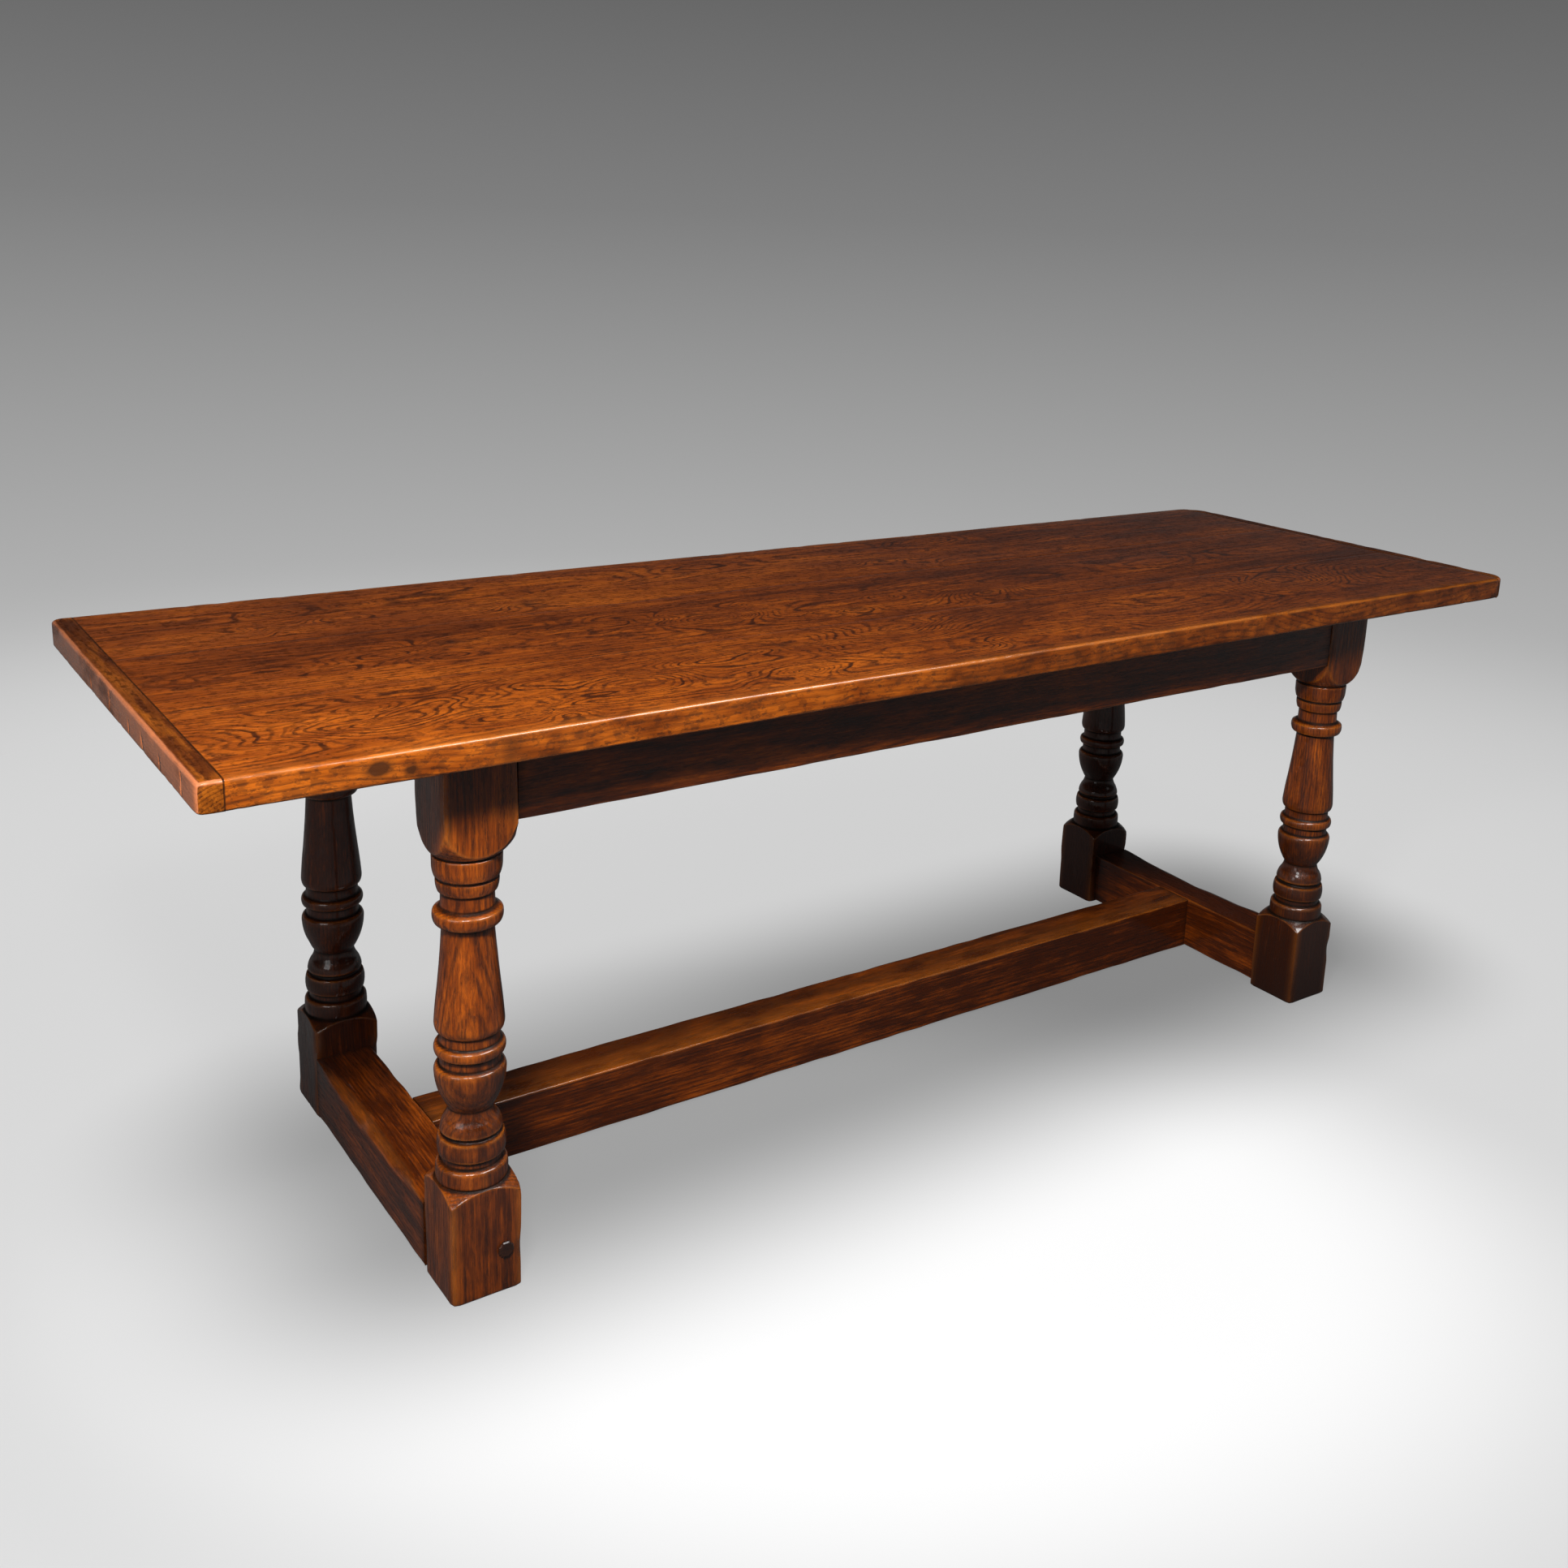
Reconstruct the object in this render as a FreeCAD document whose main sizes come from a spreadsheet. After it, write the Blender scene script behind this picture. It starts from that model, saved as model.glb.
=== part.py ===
import FreeCAD, Part
import math
import os
from types import SimpleNamespace

import Sketcher

# Refectory table of joined oak: three boards between narrow cleats, four turned legs, four rails under the
# top and a low H of stretchers. Millimetres, +X along the length, front at -Y, +Z up, with the origin on the
# floor under the middle of the top.

# Driving dimensions
DIMENSIONS = {
    # the whole table and its top
    "table_height": 770,
    "top_length": 2262,
    "top_width": 760,
    "top_thickness": 36,
    "middle_board_width": 252,
    "cleat_width": 28,
    "corner_radius_front_left": 8,
    "corner_radius_front_right": 34,
    "corner_radius_back_left": 17,
    "corner_radius_back_right": 50,
    "upper_arris_radius": 6,
    "lower_arris_radius": 4,
    # tongues between the boards, and from the boards' ends into the cleats
    "tongue_thickness": 10,
    "board_tongue_depth": 9,
    "end_tongue_length": 15,
    "end_tongue_setback": 60,
    # legs, placed by how far the top hangs over them
    "end_overhang": 289,
    "side_overhang": 73,
    "leg_square": 95,
    "leg_edge_radius": 4,
    "foot_edge_radius": 3,
    "foot_height": 131,
    "head_height": 82,
    # rails under the top
    "rail_height": 100,
    "rail_thickness": 30,
    "long_rail_setback": 3,
    "end_rail_setback": 37,
    "rail_edge_radius": 2,
    "rail_tenon_thickness": 12,
    "rail_tenon_length": 42,
    "rail_tenon_shoulder": 12,
    # stretchers
    "floor_gap": 5,
    "stretcher_height": 94,
    "end_stretcher_width": 82,
    "long_stretcher_width": 76,
    "stretcher_edge_radius": 3,
    "stretcher_tenon_thickness": 32,
    "stretcher_tenon_length": 55,
    "stretcher_tenon_shoulder": 14,
    "wear_depth": 13,
    "wear_length": 400,
    # peg through the front left foot into the end stretcher
    "peg_diameter": 16,
    "peg_head_width": 20,
    "peg_head_height": 4,
    "peg_head_chamfer": 1.2,
    "peg_from_outer_face": 71,
    "peg_height": 62,
    "peg_reach": 40,
    # buttons that hold the top down, their groove in the rails and their screws
    "groove_drop": 10,
    "groove_width": 8,
    "groove_depth": 10,
    "button_length": 42,
    "button_width": 32,
    "button_thickness": 22,
    "button_gap": 1.5,
    "screw_diameter": 5,
    "screw_head_diameter": 9.6,
    "screw_head_height": 3,
    "screw_bite": 20,
    "screw_point": 5,
    # fits
    "fit_clearance": 0.15,
    "bottom_clearance": 1,
    "cut_overrun": 2,
}

# The turning, from the foot block up to the head block. Each row is a point of the outline: its radius as a
# share of half the leg's square, its height as a share of the turned length, and how far the line above it
# bows outward, as a share of half the square.
TURNING_SHARES = (
    # shoulder of the foot block
    (1.500, 0.000, 0.050),
    # base ring
    (0.945, 0.042, 0.010),
    (0.950, 0.076, 0.018),
    (0.890, 0.087, 0.000),
    (0.800, 0.090, 0.000),
    # lower ring, between two grooves
    (0.790, 0.108, 0.000),
    (0.885, 0.112, 0.035),
    (0.870, 0.157, 0.000),
    (0.750, 0.160, 0.000),
    # bell under the waist, and the cup over it
    (0.745, 0.169, 0.000),
    (0.832, 0.172, 0.030),
    (0.690, 0.207, -0.012),
    (0.602, 0.231, 0.075),
    (0.945, 0.326, 0.014),
    (0.905, 0.341, 0.000),
    (0.800, 0.346, 0.000),
    # thin ring under a hollow
    (0.790, 0.371, 0.000),
    (0.905, 0.375, 0.020),
    (0.925, 0.394, 0.000),
    (0.905, 0.398, 0.000),
    (0.800, 0.403, -0.012),
    (0.795, 0.431, 0.000),
    # long vase
    (0.850, 0.433, 0.000),
    (0.880, 0.436, 0.015),
    (0.912, 0.458, 0.006),
    (0.820, 0.545, -0.010),
    (0.674, 0.700, 0.000),
    # collar
    (0.720, 0.703, 0.000),
    (0.850, 0.707, 0.025),
    (0.905, 0.731, 0.008),
    (0.880, 0.739, 0.000),
    # neck
    (0.705, 0.747, -0.006),
    (0.692, 0.785, 0.000),
    # thin ring
    (0.765, 0.788, 0.016),
    (0.815, 0.816, 0.000),
    # drum
    (0.785, 0.818, 0.000),
    (0.785, 0.824, 0.000),
    (0.845, 0.826, 0.016),
    (0.900, 0.855, 0.000),
    (0.905, 0.877, 0.000),
    # shoulder of the head block
    (0.863, 0.879, 0.000),
    (0.863, 0.882, 0.000),
    (0.918, 0.885, 0.034),
    (1.263, 0.925, 0.013),
    (1.500, 1.000, 0.000),
)

# Places of the buttons along their rails, as shares of the rail's length from its middle
LONG_RAIL_BUTTON_SHARES = (-0.39, -0.13, 0.13, 0.39)
END_RAIL_BUTTON_SHARES = (-0.15, 0.15)

# Corners of the peg's head, and the height of a quarter circle over its chord for a radius of 1
PEG_SIDES = 8
QUARTER_BOW_SHARE = 1 - math.sqrt(0.5)

# Part of a length that lies along each axis of a slope of 45 degrees
SLOPE_SHARE = math.sqrt(0.5)

# For the printed volumes
CUBIC_MM_PER_CUBIC_CM = 1000

# The legs, with the way from each to the middle of the table along X and along Y
LEGS = {
    "leg_front_left": (1, 1),
    "leg_front_right": (-1, 1),
    "leg_back_left": (1, -1),
    "leg_back_right": (-1, -1),
}


class Size:
    """A number together with the sheet formula that gives it, so that every sum stays bound to the sheet."""

    def __init__(self, value, formula):
        self.value = value
        self.formula = formula

    def __add__(self, other):
        other = as_size(other)
        return Size(self.value + other.value, f"({self.formula} + {other.formula})")

    def __sub__(self, other):
        other = as_size(other)
        return Size(self.value - other.value, f"({self.formula} - {other.formula})")

    def __mul__(self, other):
        other = as_size(other)
        return Size(self.value * other.value, f"({self.formula} * {other.formula})")

    def __truediv__(self, other):
        other = as_size(other)
        return Size(self.value / other.value, f"({self.formula} / {other.formula})")

    def __neg__(self):
        return Size(-self.value, f"(-{self.formula})")


def as_size(number):
    """Gives a plain number, such as a share, the form of a size."""
    if isinstance(number, Size):
        return number
    return Size(number, f"({number})")


def ordered(first, second):
    """Returns two sizes with the lower one first."""
    return sorted((first, second), key=lambda each: each.value)


doc = FreeCAD.newDocument("refectory_table")
sheet = doc.addObject("Spreadsheet::Sheet", "Sizes")
for row, (name, number) in enumerate(DIMENSIONS.items(), start=1):
    sheet.set(f"A{row}", name)
    sheet.set(f"B{row}", str(number))
    sheet.setAlias(f"B{row}", name)
doc.recompute()

size = SimpleNamespace(**{name: Size(number, f"Sizes.{name}") for name, number in DIMENSIONS.items()})
nothing = as_size(0)

# Sizes and places that several pieces share
half_length = size.top_length / 2
half_width = size.top_width / 2
leg_height = size.table_height - size.top_thickness
half_leg = size.leg_square / 2
leg_x = half_length - size.end_overhang - half_leg
leg_y = half_width - size.side_overhang - half_leg
tongue_level = size.top_thickness / 2
half_tongue = size.tongue_thickness / 2
board_length = size.top_length - size.cleat_width * 2
board_seam = size.middle_board_width / 2
board_groove_depth = size.board_tongue_depth + size.bottom_clearance
long_rail_inset = half_leg - size.long_rail_setback - size.rail_thickness / 2
end_rail_inset = half_leg - size.end_rail_setback - size.rail_thickness / 2
end_stretcher_inset = half_leg - size.end_stretcher_width / 2
stretcher_tenon_bottom = size.floor_gap + size.stretcher_tenon_shoulder
stretcher_tenon_top = size.floor_gap + size.stretcher_height - size.stretcher_tenon_shoulder
half_stretcher_tenon = size.stretcher_tenon_thickness / 2
peg_x = size.peg_from_outer_face - half_leg
screw_radius = size.screw_diameter / 2
screw_x = size.button_gap + size.button_length / 2
pieces = []


def bind(thing, prop, amount):
    """Sets a length of an object and ties it to the sheet."""
    setattr(thing, prop, amount.value)
    thing.setExpression(prop, amount.formula)


def place(thing, x, y, z, rotation=FreeCAD.Rotation()):
    """Puts an object at a point that follows the sheet."""
    thing.Placement = FreeCAD.Placement(FreeCAD.Vector(x.value, y.value, z.value), rotation)
    for axis, amount in zip("xyz", (x, y, z)):
        thing.setExpression(f"Placement.Base.{axis}", amount.formula)


def turned(degrees):
    """A turn about the upright axis."""
    return FreeCAD.Rotation(FreeCAD.Vector(0, 0, 1), degrees)


def new_body(name):
    """Starts a piece that is built up feature by feature."""
    body = doc.addObject("PartDesign::Body", name)
    body.Label = name
    return body


def outline(body, name, plane, corners):
    """Draws a closed outline on one of the body's own planes.

    Each corner is (across, up, bow): where it lies, and how far the edge that leaves it bows to the right of
    the way it runs, which is outward when the outline runs counter-clockwise. No bow is a straight edge.
    """
    sketch = body.newObject("Sketcher::SketchObject", f"{body.Name}_{name}")
    support = next(each for each in body.Origin.OriginFeatures if each.Role == plane)
    sketch.AttachmentSupport = [(support, "")]
    sketch.MapMode = "FlatFace"
    ends = []
    rules = []
    for number, (x1, y1, bow) in enumerate(corners):
        x2, y2, _ = corners[(number + 1) % len(corners)]
        start = FreeCAD.Vector(x1.value, y1.value, 0)
        finish = FreeCAD.Vector(x2.value, y2.value, 0)
        if bow.value == 0:
            edge = sketch.addGeometry(Part.LineSegment(start, finish))
            ends.append((edge, 1, 2))
            continue
        along = finish - start
        crest = (start + finish) / 2 + FreeCAD.Vector(along.y, -along.x, 0) * (bow.value / along.Length)
        edge = sketch.addGeometry(Part.Arc(start, crest, finish))
        ends.append((edge, 1, 2) if bow.value > 0 else (edge, 2, 1))
        depth = bow if bow.value > 0 else -bow
        chord_squared = (x2 - x1) * (x2 - x1) + (y2 - y1) * (y2 - y1)
        radius = (chord_squared / 4 + depth * depth) / (depth * 2)
        rules.append((Sketcher.Constraint("Radius", edge, radius.value), radius))
    for number, (edge, first, _) in enumerate(ends):
        before, _, last = ends[number - 1]
        x, y, _ = corners[number]
        rules.append((Sketcher.Constraint("Coincident", before, last, edge, first), None))
        rules.append((Sketcher.Constraint("DistanceX", -1, 1, edge, first, x.value), x))
        rules.append((Sketcher.Constraint("DistanceY", -1, 1, edge, first, y.value), y))
    sketch.addConstraint([rule for rule, _ in rules])
    for number, (_, amount) in enumerate(rules):
        if amount is not None:
            sketch.setExpression(f"Constraints[{number}]", amount.formula)
    return sketch


def polygon(points):
    """Corners of an outline with straight edges only."""
    return [(x, y, nothing) for x, y in points]


def rectangle(low_x, low_y, high_x, high_y):
    """Corners of a rectangle, counter-clockwise."""
    return polygon(((low_x, low_y), (high_x, low_y), (high_x, high_y), (low_x, high_y)))


def pad(body, sketch, length, symmetric=True):
    """Extrudes an outline, evenly to both sides of its plane unless told otherwise."""
    feature = body.newObject("PartDesign::Pad", f"{sketch.Name}_pad")
    feature.Profile = sketch
    feature.SideType = "Symmetric" if symmetric else "One side"
    bind(feature, "Length", length)
    return feature


def revolve(body, sketch):
    """Turns an outline right round the upright axis."""
    feature = body.newObject("PartDesign::Revolution", f"{sketch.Name}_turned")
    feature.Profile = sketch
    feature.ReferenceAxis = (sketch, ["V_Axis"])
    feature.Angle = 360
    return feature


def box(body, kind, name, low, high):
    """Adds or cuts a block between two opposite corners."""
    feature = body.newObject(f"PartDesign::{kind}Box", f"{body.Name}_{name}")
    for prop, start, finish in zip(("Length", "Width", "Height"), low, high):
        bind(feature, prop, finish - start)
    place(feature, *low)
    return feature


def drill(body, name, radius, depth, start, direction):
    """Cuts a round hole that runs from a point along a direction."""
    feature = body.newObject("PartDesign::SubtractiveCylinder", f"{body.Name}_{name}")
    bind(feature, "Radius", radius)
    bind(feature, "Height", depth)
    place(feature, *start, FreeCAD.Rotation(FreeCAD.Vector(0, 0, 1), direction))
    return feature


def dress_edges(body, kind, prop, amount, wanted):
    """Rounds or chamfers the edges of a body that a test picks."""
    doc.recompute()
    base = body.Tip
    names = [f"Edge{count}" for count, edge in enumerate(base.Shape.Edges, start=1) if wanted(edge)]
    feature = body.newObject(f"PartDesign::{kind}", f"{base.Name}_{kind.lower()}")
    feature.Base = (base, names)
    bind(feature, prop, amount)
    return feature


def runs_along(axis):
    """A test for straight edges that run along one axis, 0 for X, 1 for Y and 2 for Z."""
    def test(edge):
        if not isinstance(edge.Curve, Part.Line):
            return False
        return abs(abs(edge.Curve.Direction[axis]) - 1) < Part.Precision.confusion()
    return test


def lies_at(level):
    """A test for edges that lie wholly at one height."""
    def test(edge):
        reach = edge.BoundBox
        furthest = max(abs(reach.ZMin - level.value), abs(reach.ZMax - level.value))
        return furthest < Part.Precision.approximation()
    return test


def keep(piece, name):
    """Counts an object among the pieces that are written out."""
    piece.Label = name
    pieces.append(piece)
    return piece


def top_outline():
    """The whole top as one slab: its corner radii and rounded arrises, which trim every board and cleat."""
    body = new_body("top_outline")
    corners = []
    for x_sign, y_sign, radius, along_x_first in (
        (1, -1, size.corner_radius_front_right, True),
        (1, 1, size.corner_radius_back_right, False),
        (-1, 1, size.corner_radius_back_left, True),
        (-1, -1, size.corner_radius_front_left, False),
    ):
        on_long_edge = ((half_length - radius) * x_sign, half_width * y_sign)
        on_end_edge = (half_length * x_sign, (half_width - radius) * y_sign)
        first, second = (on_long_edge, on_end_edge) if along_x_first else (on_end_edge, on_long_edge)
        corners.append((*first, radius * QUARTER_BOW_SHARE))
        corners.append((*second, nothing))
    pad(body, outline(body, "plan", "XY_Plane", corners), size.top_thickness, symmetric=False)
    dress_edges(body, "Fillet", "Radius", size.upper_arris_radius, lies_at(size.top_thickness))
    dress_edges(body, "Fillet", "Radius", size.lower_arris_radius, lies_at(nothing))
    place(body, nothing, nothing, leg_height)
    return body


def trimmed(blank, slab, name):
    """A piece of the top: its blank, trimmed to the slab's outline."""
    piece = doc.addObject("Part::MultiCommon", name)
    piece.Shapes = [blank, slab]
    return keep(piece, name)


def edge_steps(kind):
    """Outline of a board's long edge from its lower face to its upper face, as steps outward and up."""
    reach = {"tongue": size.board_tongue_depth, "groove": -board_groove_depth}.get(kind)
    if reach is None:
        return [(nothing, nothing), (nothing, size.top_thickness)]
    half_height = half_tongue + size.fit_clearance if kind == "groove" else half_tongue
    low = tongue_level - half_height
    high = tongue_level + half_height
    return [(nothing, nothing), (nothing, low), (reach, low), (reach, high), (nothing, high),
            (nothing, size.top_thickness)]


def top_board(name, low_y, high_y, low_kind, high_kind, end_tongue, screw_places, slab):
    """One board of the top, with its long edges, stopped end tongues and screw holes."""
    body = new_body(f"{name}_blank")
    points = [(high_y + step, level) for step, level in edge_steps(high_kind)]
    points += [(low_y - step, level) for step, level in reversed(edge_steps(low_kind))]
    pad(body, outline(body, "section", "YZ_Plane", polygon(points)), board_length)
    tongue_end = board_length / 2 + size.end_tongue_length
    box(body, "Additive", "end_tongues",
        (-tongue_end, end_tongue[0], tongue_level - half_tongue),
        (tongue_end, end_tongue[1], tongue_level + half_tongue))
    hole_radius = screw_radius + size.fit_clearance
    hole_depth = size.screw_bite + size.bottom_clearance
    for count, (x, y) in enumerate(screw_places, start=1):
        drill(body, f"screw_hole_{count}", hole_radius, hole_depth, (x, y, nothing), FreeCAD.Vector(0, 0, 1))
    place(body, nothing, nothing, leg_height)
    return trimmed(body, slab, name)


def cleat(name, side, slab):
    """A cleat across the boards' ends, grooved for their tongues."""
    body = new_body(f"{name}_blank")
    inner = half_length - size.cleat_width
    low_x, high_x = ordered(inner * side, half_length * side)
    box(body, "Additive", "strip", (low_x, -half_width, nothing), (high_x, half_width, size.top_thickness))
    groove_end = inner + size.end_tongue_length + size.bottom_clearance
    low_x, high_x = ordered((inner - size.cut_overrun) * side, groove_end * side)
    half_groove = half_tongue + size.fit_clearance
    groove_half_length = half_width - size.end_tongue_setback + size.fit_clearance
    box(body, "Subtractive", "groove",
        (low_x, -groove_half_length, tongue_level - half_groove),
        (high_x, groove_half_length, tongue_level + half_groove))
    place(body, nothing, nothing, leg_height)
    return trimmed(body, slab, name)


def turning_waste():
    """The ring of wood that the lathe takes off a square leg between its head and foot blocks."""
    body = new_body("turning_waste")
    turned_length = leg_height - size.foot_height - size.head_height
    corners = [
        (half_leg * radius_share, size.foot_height + turned_length * height_share, half_leg * bow_share)
        for radius_share, height_share, bow_share in TURNING_SHARES
    ]
    revolve(body, outline(body, "profile", "XZ_Plane", corners))
    return body


def leg(name, to_middle_x, to_middle_y, has_peg, turning):
    """A square post, mortised for two rails and a stretcher and turned between its head and foot blocks."""
    body = new_body(f"{name}_post")
    square = outline(body, "square", "XY_Plane", rectangle(-half_leg, -half_leg, half_leg, half_leg))
    pad(body, square, leg_height, symmetric=False)
    dress_edges(body, "Fillet", "Radius", size.leg_edge_radius, runs_along(2))
    dress_edges(body, "Fillet", "Radius", size.foot_edge_radius, lies_at(nothing))

    half_mortise = size.rail_tenon_thickness / 2 + size.fit_clearance
    rail_mortise_depth = size.rail_tenon_length + size.bottom_clearance
    low_z = leg_height - size.rail_height + size.rail_tenon_shoulder - size.fit_clearance
    high_z = leg_height - size.rail_tenon_shoulder + size.fit_clearance
    mouth = half_leg + size.cut_overrun
    low_x, high_x = ordered((half_leg - rail_mortise_depth) * to_middle_x, mouth * to_middle_x)
    middle = long_rail_inset * -to_middle_y
    box(body, "Subtractive", "long_rail_mortise",
        (low_x, middle - half_mortise, low_z), (high_x, middle + half_mortise, high_z))
    low_y, high_y = ordered((half_leg - rail_mortise_depth) * to_middle_y, mouth * to_middle_y)
    middle = end_rail_inset * -to_middle_x
    box(body, "Subtractive", "end_rail_mortise",
        (middle - half_mortise, low_y, low_z), (middle + half_mortise, high_y, high_z))

    half_mortise = half_stretcher_tenon + size.fit_clearance
    stretcher_mortise_depth = size.stretcher_tenon_length + size.bottom_clearance
    low_y, high_y = ordered((half_leg - stretcher_mortise_depth) * to_middle_y, mouth * to_middle_y)
    middle = end_stretcher_inset * -to_middle_x
    box(body, "Subtractive", "stretcher_mortise",
        (middle - half_mortise, low_y, stretcher_tenon_bottom - size.fit_clearance),
        (middle + half_mortise, high_y, stretcher_tenon_top + size.fit_clearance))
    if has_peg:
        drill(body, "peg_hole", size.peg_diameter / 2 + size.fit_clearance, mouth * 2,
              (peg_x, -mouth, size.peg_height), FreeCAD.Vector(0, 1, 0))
    waste = doc.addObject("App::Link", f"{name}_waste")
    waste.LinkedObject = turning
    for each in (body, waste):
        place(each, leg_x * -to_middle_x, leg_y * -to_middle_y, nothing)
    turned_leg = doc.addObject("Part::Cut", name)
    turned_leg.Base = body
    turned_leg.Tool = waste
    return keep(turned_leg, name)


def rail(name, length, x, y, degrees):
    """A rail under the top, tenoned at both ends and grooved inside for the buttons."""
    body = new_body(name)
    half_thickness = size.rail_thickness / 2
    section = outline(body, "section", "YZ_Plane",
                      rectangle(-half_thickness, -size.rail_height, half_thickness, nothing))
    pad(body, section, length)
    lower_arris = lies_at(-size.rail_height)
    along = runs_along(0)
    dress_edges(body, "Fillet", "Radius", size.rail_edge_radius,
                lambda edge: along(edge) and lower_arris(edge))
    half_tenon = size.rail_tenon_thickness / 2
    tenon_end = length / 2 + size.rail_tenon_length
    box(body, "Additive", "tenons",
        (-tenon_end, -half_tenon, size.rail_tenon_shoulder - size.rail_height),
        (tenon_end, half_tenon, -size.rail_tenon_shoulder))
    groove_end = length / 2 + size.cut_overrun
    box(body, "Subtractive", "button_groove",
        (-groove_end, half_thickness - size.groove_depth, -size.groove_drop - size.groove_width),
        (groove_end, half_thickness + size.cut_overrun, -size.groove_drop))
    place(body, x, y, leg_height, turned(degrees))
    return keep(body, name)


def stretcher_bar(name, length, width):
    """A bar of the stretcher frame with rounded arrises, lying along X."""
    body = new_body(name)
    top = size.floor_gap + size.stretcher_height
    section = outline(body, "section", "YZ_Plane", rectangle(-width / 2, size.floor_gap, width / 2, top))
    pad(body, section, length)
    dress_edges(body, "Fillet", "Radius", size.stretcher_edge_radius, runs_along(0))
    return body


def add_stretcher_tenons(body, length):
    """Puts a tenon on each end of a stretcher."""
    tenon_end = length / 2 + size.stretcher_tenon_length
    box(body, "Additive", "tenons",
        (-tenon_end, -half_stretcher_tenon, stretcher_tenon_bottom),
        (tenon_end, half_stretcher_tenon, stretcher_tenon_top))


def end_stretcher(name, x, degrees, has_peg):
    """A stretcher between two feet, its outer top edge worn hollow, mortised for the long stretcher."""
    length = (leg_y - half_leg) * 2
    half_bar = size.end_stretcher_width / 2
    body = stretcher_bar(name, length, size.end_stretcher_width)
    half_wear = size.wear_length / 2
    wear_radius = (half_wear * half_wear + size.wear_depth * size.wear_depth) / (size.wear_depth * 2)
    wear_reach = (wear_radius - size.wear_depth) * SLOPE_SHARE
    band = size.end_stretcher_width * SLOPE_SHARE
    wear = body.newObject("PartDesign::SubtractiveCylinder", f"{name}_wear")
    bind(wear, "Radius", wear_radius)
    bind(wear, "Height", band * 2)
    place(wear, nothing,
          -half_bar - wear_reach - band * SLOPE_SHARE,
          size.floor_gap + size.stretcher_height + wear_reach - band * SLOPE_SHARE,
          FreeCAD.Rotation(FreeCAD.Vector(0, 0, 1), FreeCAD.Vector(0, 1, 1)))
    add_stretcher_tenons(body, length)
    half_mortise = half_stretcher_tenon + size.fit_clearance
    depth = size.stretcher_tenon_length + size.bottom_clearance
    box(body, "Subtractive", "long_stretcher_mortise",
        (-half_mortise, half_bar - depth, stretcher_tenon_bottom - size.fit_clearance),
        (half_mortise, half_bar + size.cut_overrun, stretcher_tenon_top + size.fit_clearance))
    if has_peg:
        peg_y = size.peg_from_outer_face - half_bar
        drill(body, "peg_hole", size.peg_diameter / 2 + size.fit_clearance,
              size.peg_reach + size.bottom_clearance + size.cut_overrun,
              (length / 2 + size.cut_overrun, peg_y, size.peg_height), FreeCAD.Vector(-1, 0, 0))
    place(body, x, nothing, nothing, turned(degrees))
    return keep(body, name)


def long_stretcher(name, length):
    """The stretcher that joins the two end stretchers."""
    body = stretcher_bar(name, length, size.long_stretcher_width)
    add_stretcher_tenons(body, length)
    return keep(body, name)


def foot_peg(name):
    """An eight-sided peg head that stands proud of the foot, on a round shank into the end stretcher."""
    body = new_body(name)
    half_turn_step = math.pi / PEG_SIDES
    corner_radius = size.peg_head_width / (2 * math.cos(half_turn_step))
    corners = []
    for count in range(PEG_SIDES):
        angle = (2 * count + 1) * half_turn_step
        corners.append((corner_radius * math.cos(angle), corner_radius * math.sin(angle)))
    pad(body, outline(body, "head", "XZ_Plane", polygon(corners)), size.peg_head_height, symmetric=False)
    outer_face = -size.peg_head_height.value
    dress_edges(body, "Chamfer", "Size", size.peg_head_chamfer,
                lambda edge: edge.BoundBox.YMax < outer_face / 2)
    shank = body.newObject("PartDesign::AdditiveCylinder", f"{name}_shank")
    bind(shank, "Radius", size.peg_diameter / 2)
    bind(shank, "Height", size.leg_square + size.peg_reach)
    place(shank, nothing, nothing, nothing,
          FreeCAD.Rotation(FreeCAD.Vector(0, 0, 1), FreeCAD.Vector(0, 1, 0)))
    place(body, peg_x - leg_x, -leg_y - half_leg, size.peg_height)
    return keep(body, name)


def button(name, x, y, degrees):
    """A button: its tongue hooks into a rail's groove, and its body is screwed up against the top."""
    body = new_body(name)
    far = size.button_gap + size.button_length
    tongue_tip = size.bottom_clearance - size.groove_depth
    tongue_high = -size.groove_drop - size.fit_clearance
    tongue_low = size.fit_clearance - size.groove_drop - size.groove_width
    section = outline(body, "section", "XZ_Plane", polygon((
        (tongue_tip, tongue_low), (size.button_gap, tongue_low), (size.button_gap, -size.button_thickness),
        (far, -size.button_thickness), (far, nothing), (size.button_gap, nothing),
        (size.button_gap, tongue_high), (tongue_tip, tongue_high),
    )))
    pad(body, section, size.button_width)
    hole_radius = screw_radius + size.fit_clearance
    drill(body, "screw_hole", hole_radius, size.button_thickness + size.cut_overrun * 2,
          (screw_x, nothing, -size.button_thickness - size.cut_overrun), FreeCAD.Vector(0, 0, 1))
    countersink = body.newObject("PartDesign::SubtractiveCone", f"{name}_countersink")
    bind(countersink, "Radius1", size.screw_head_diameter / 2 + size.fit_clearance)
    bind(countersink, "Radius2", hole_radius)
    bind(countersink, "Height", size.screw_head_height)
    place(countersink, screw_x, nothing, -size.button_thickness)
    place(body, x, y, leg_height, turned(degrees))
    return keep(body, name)


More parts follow.
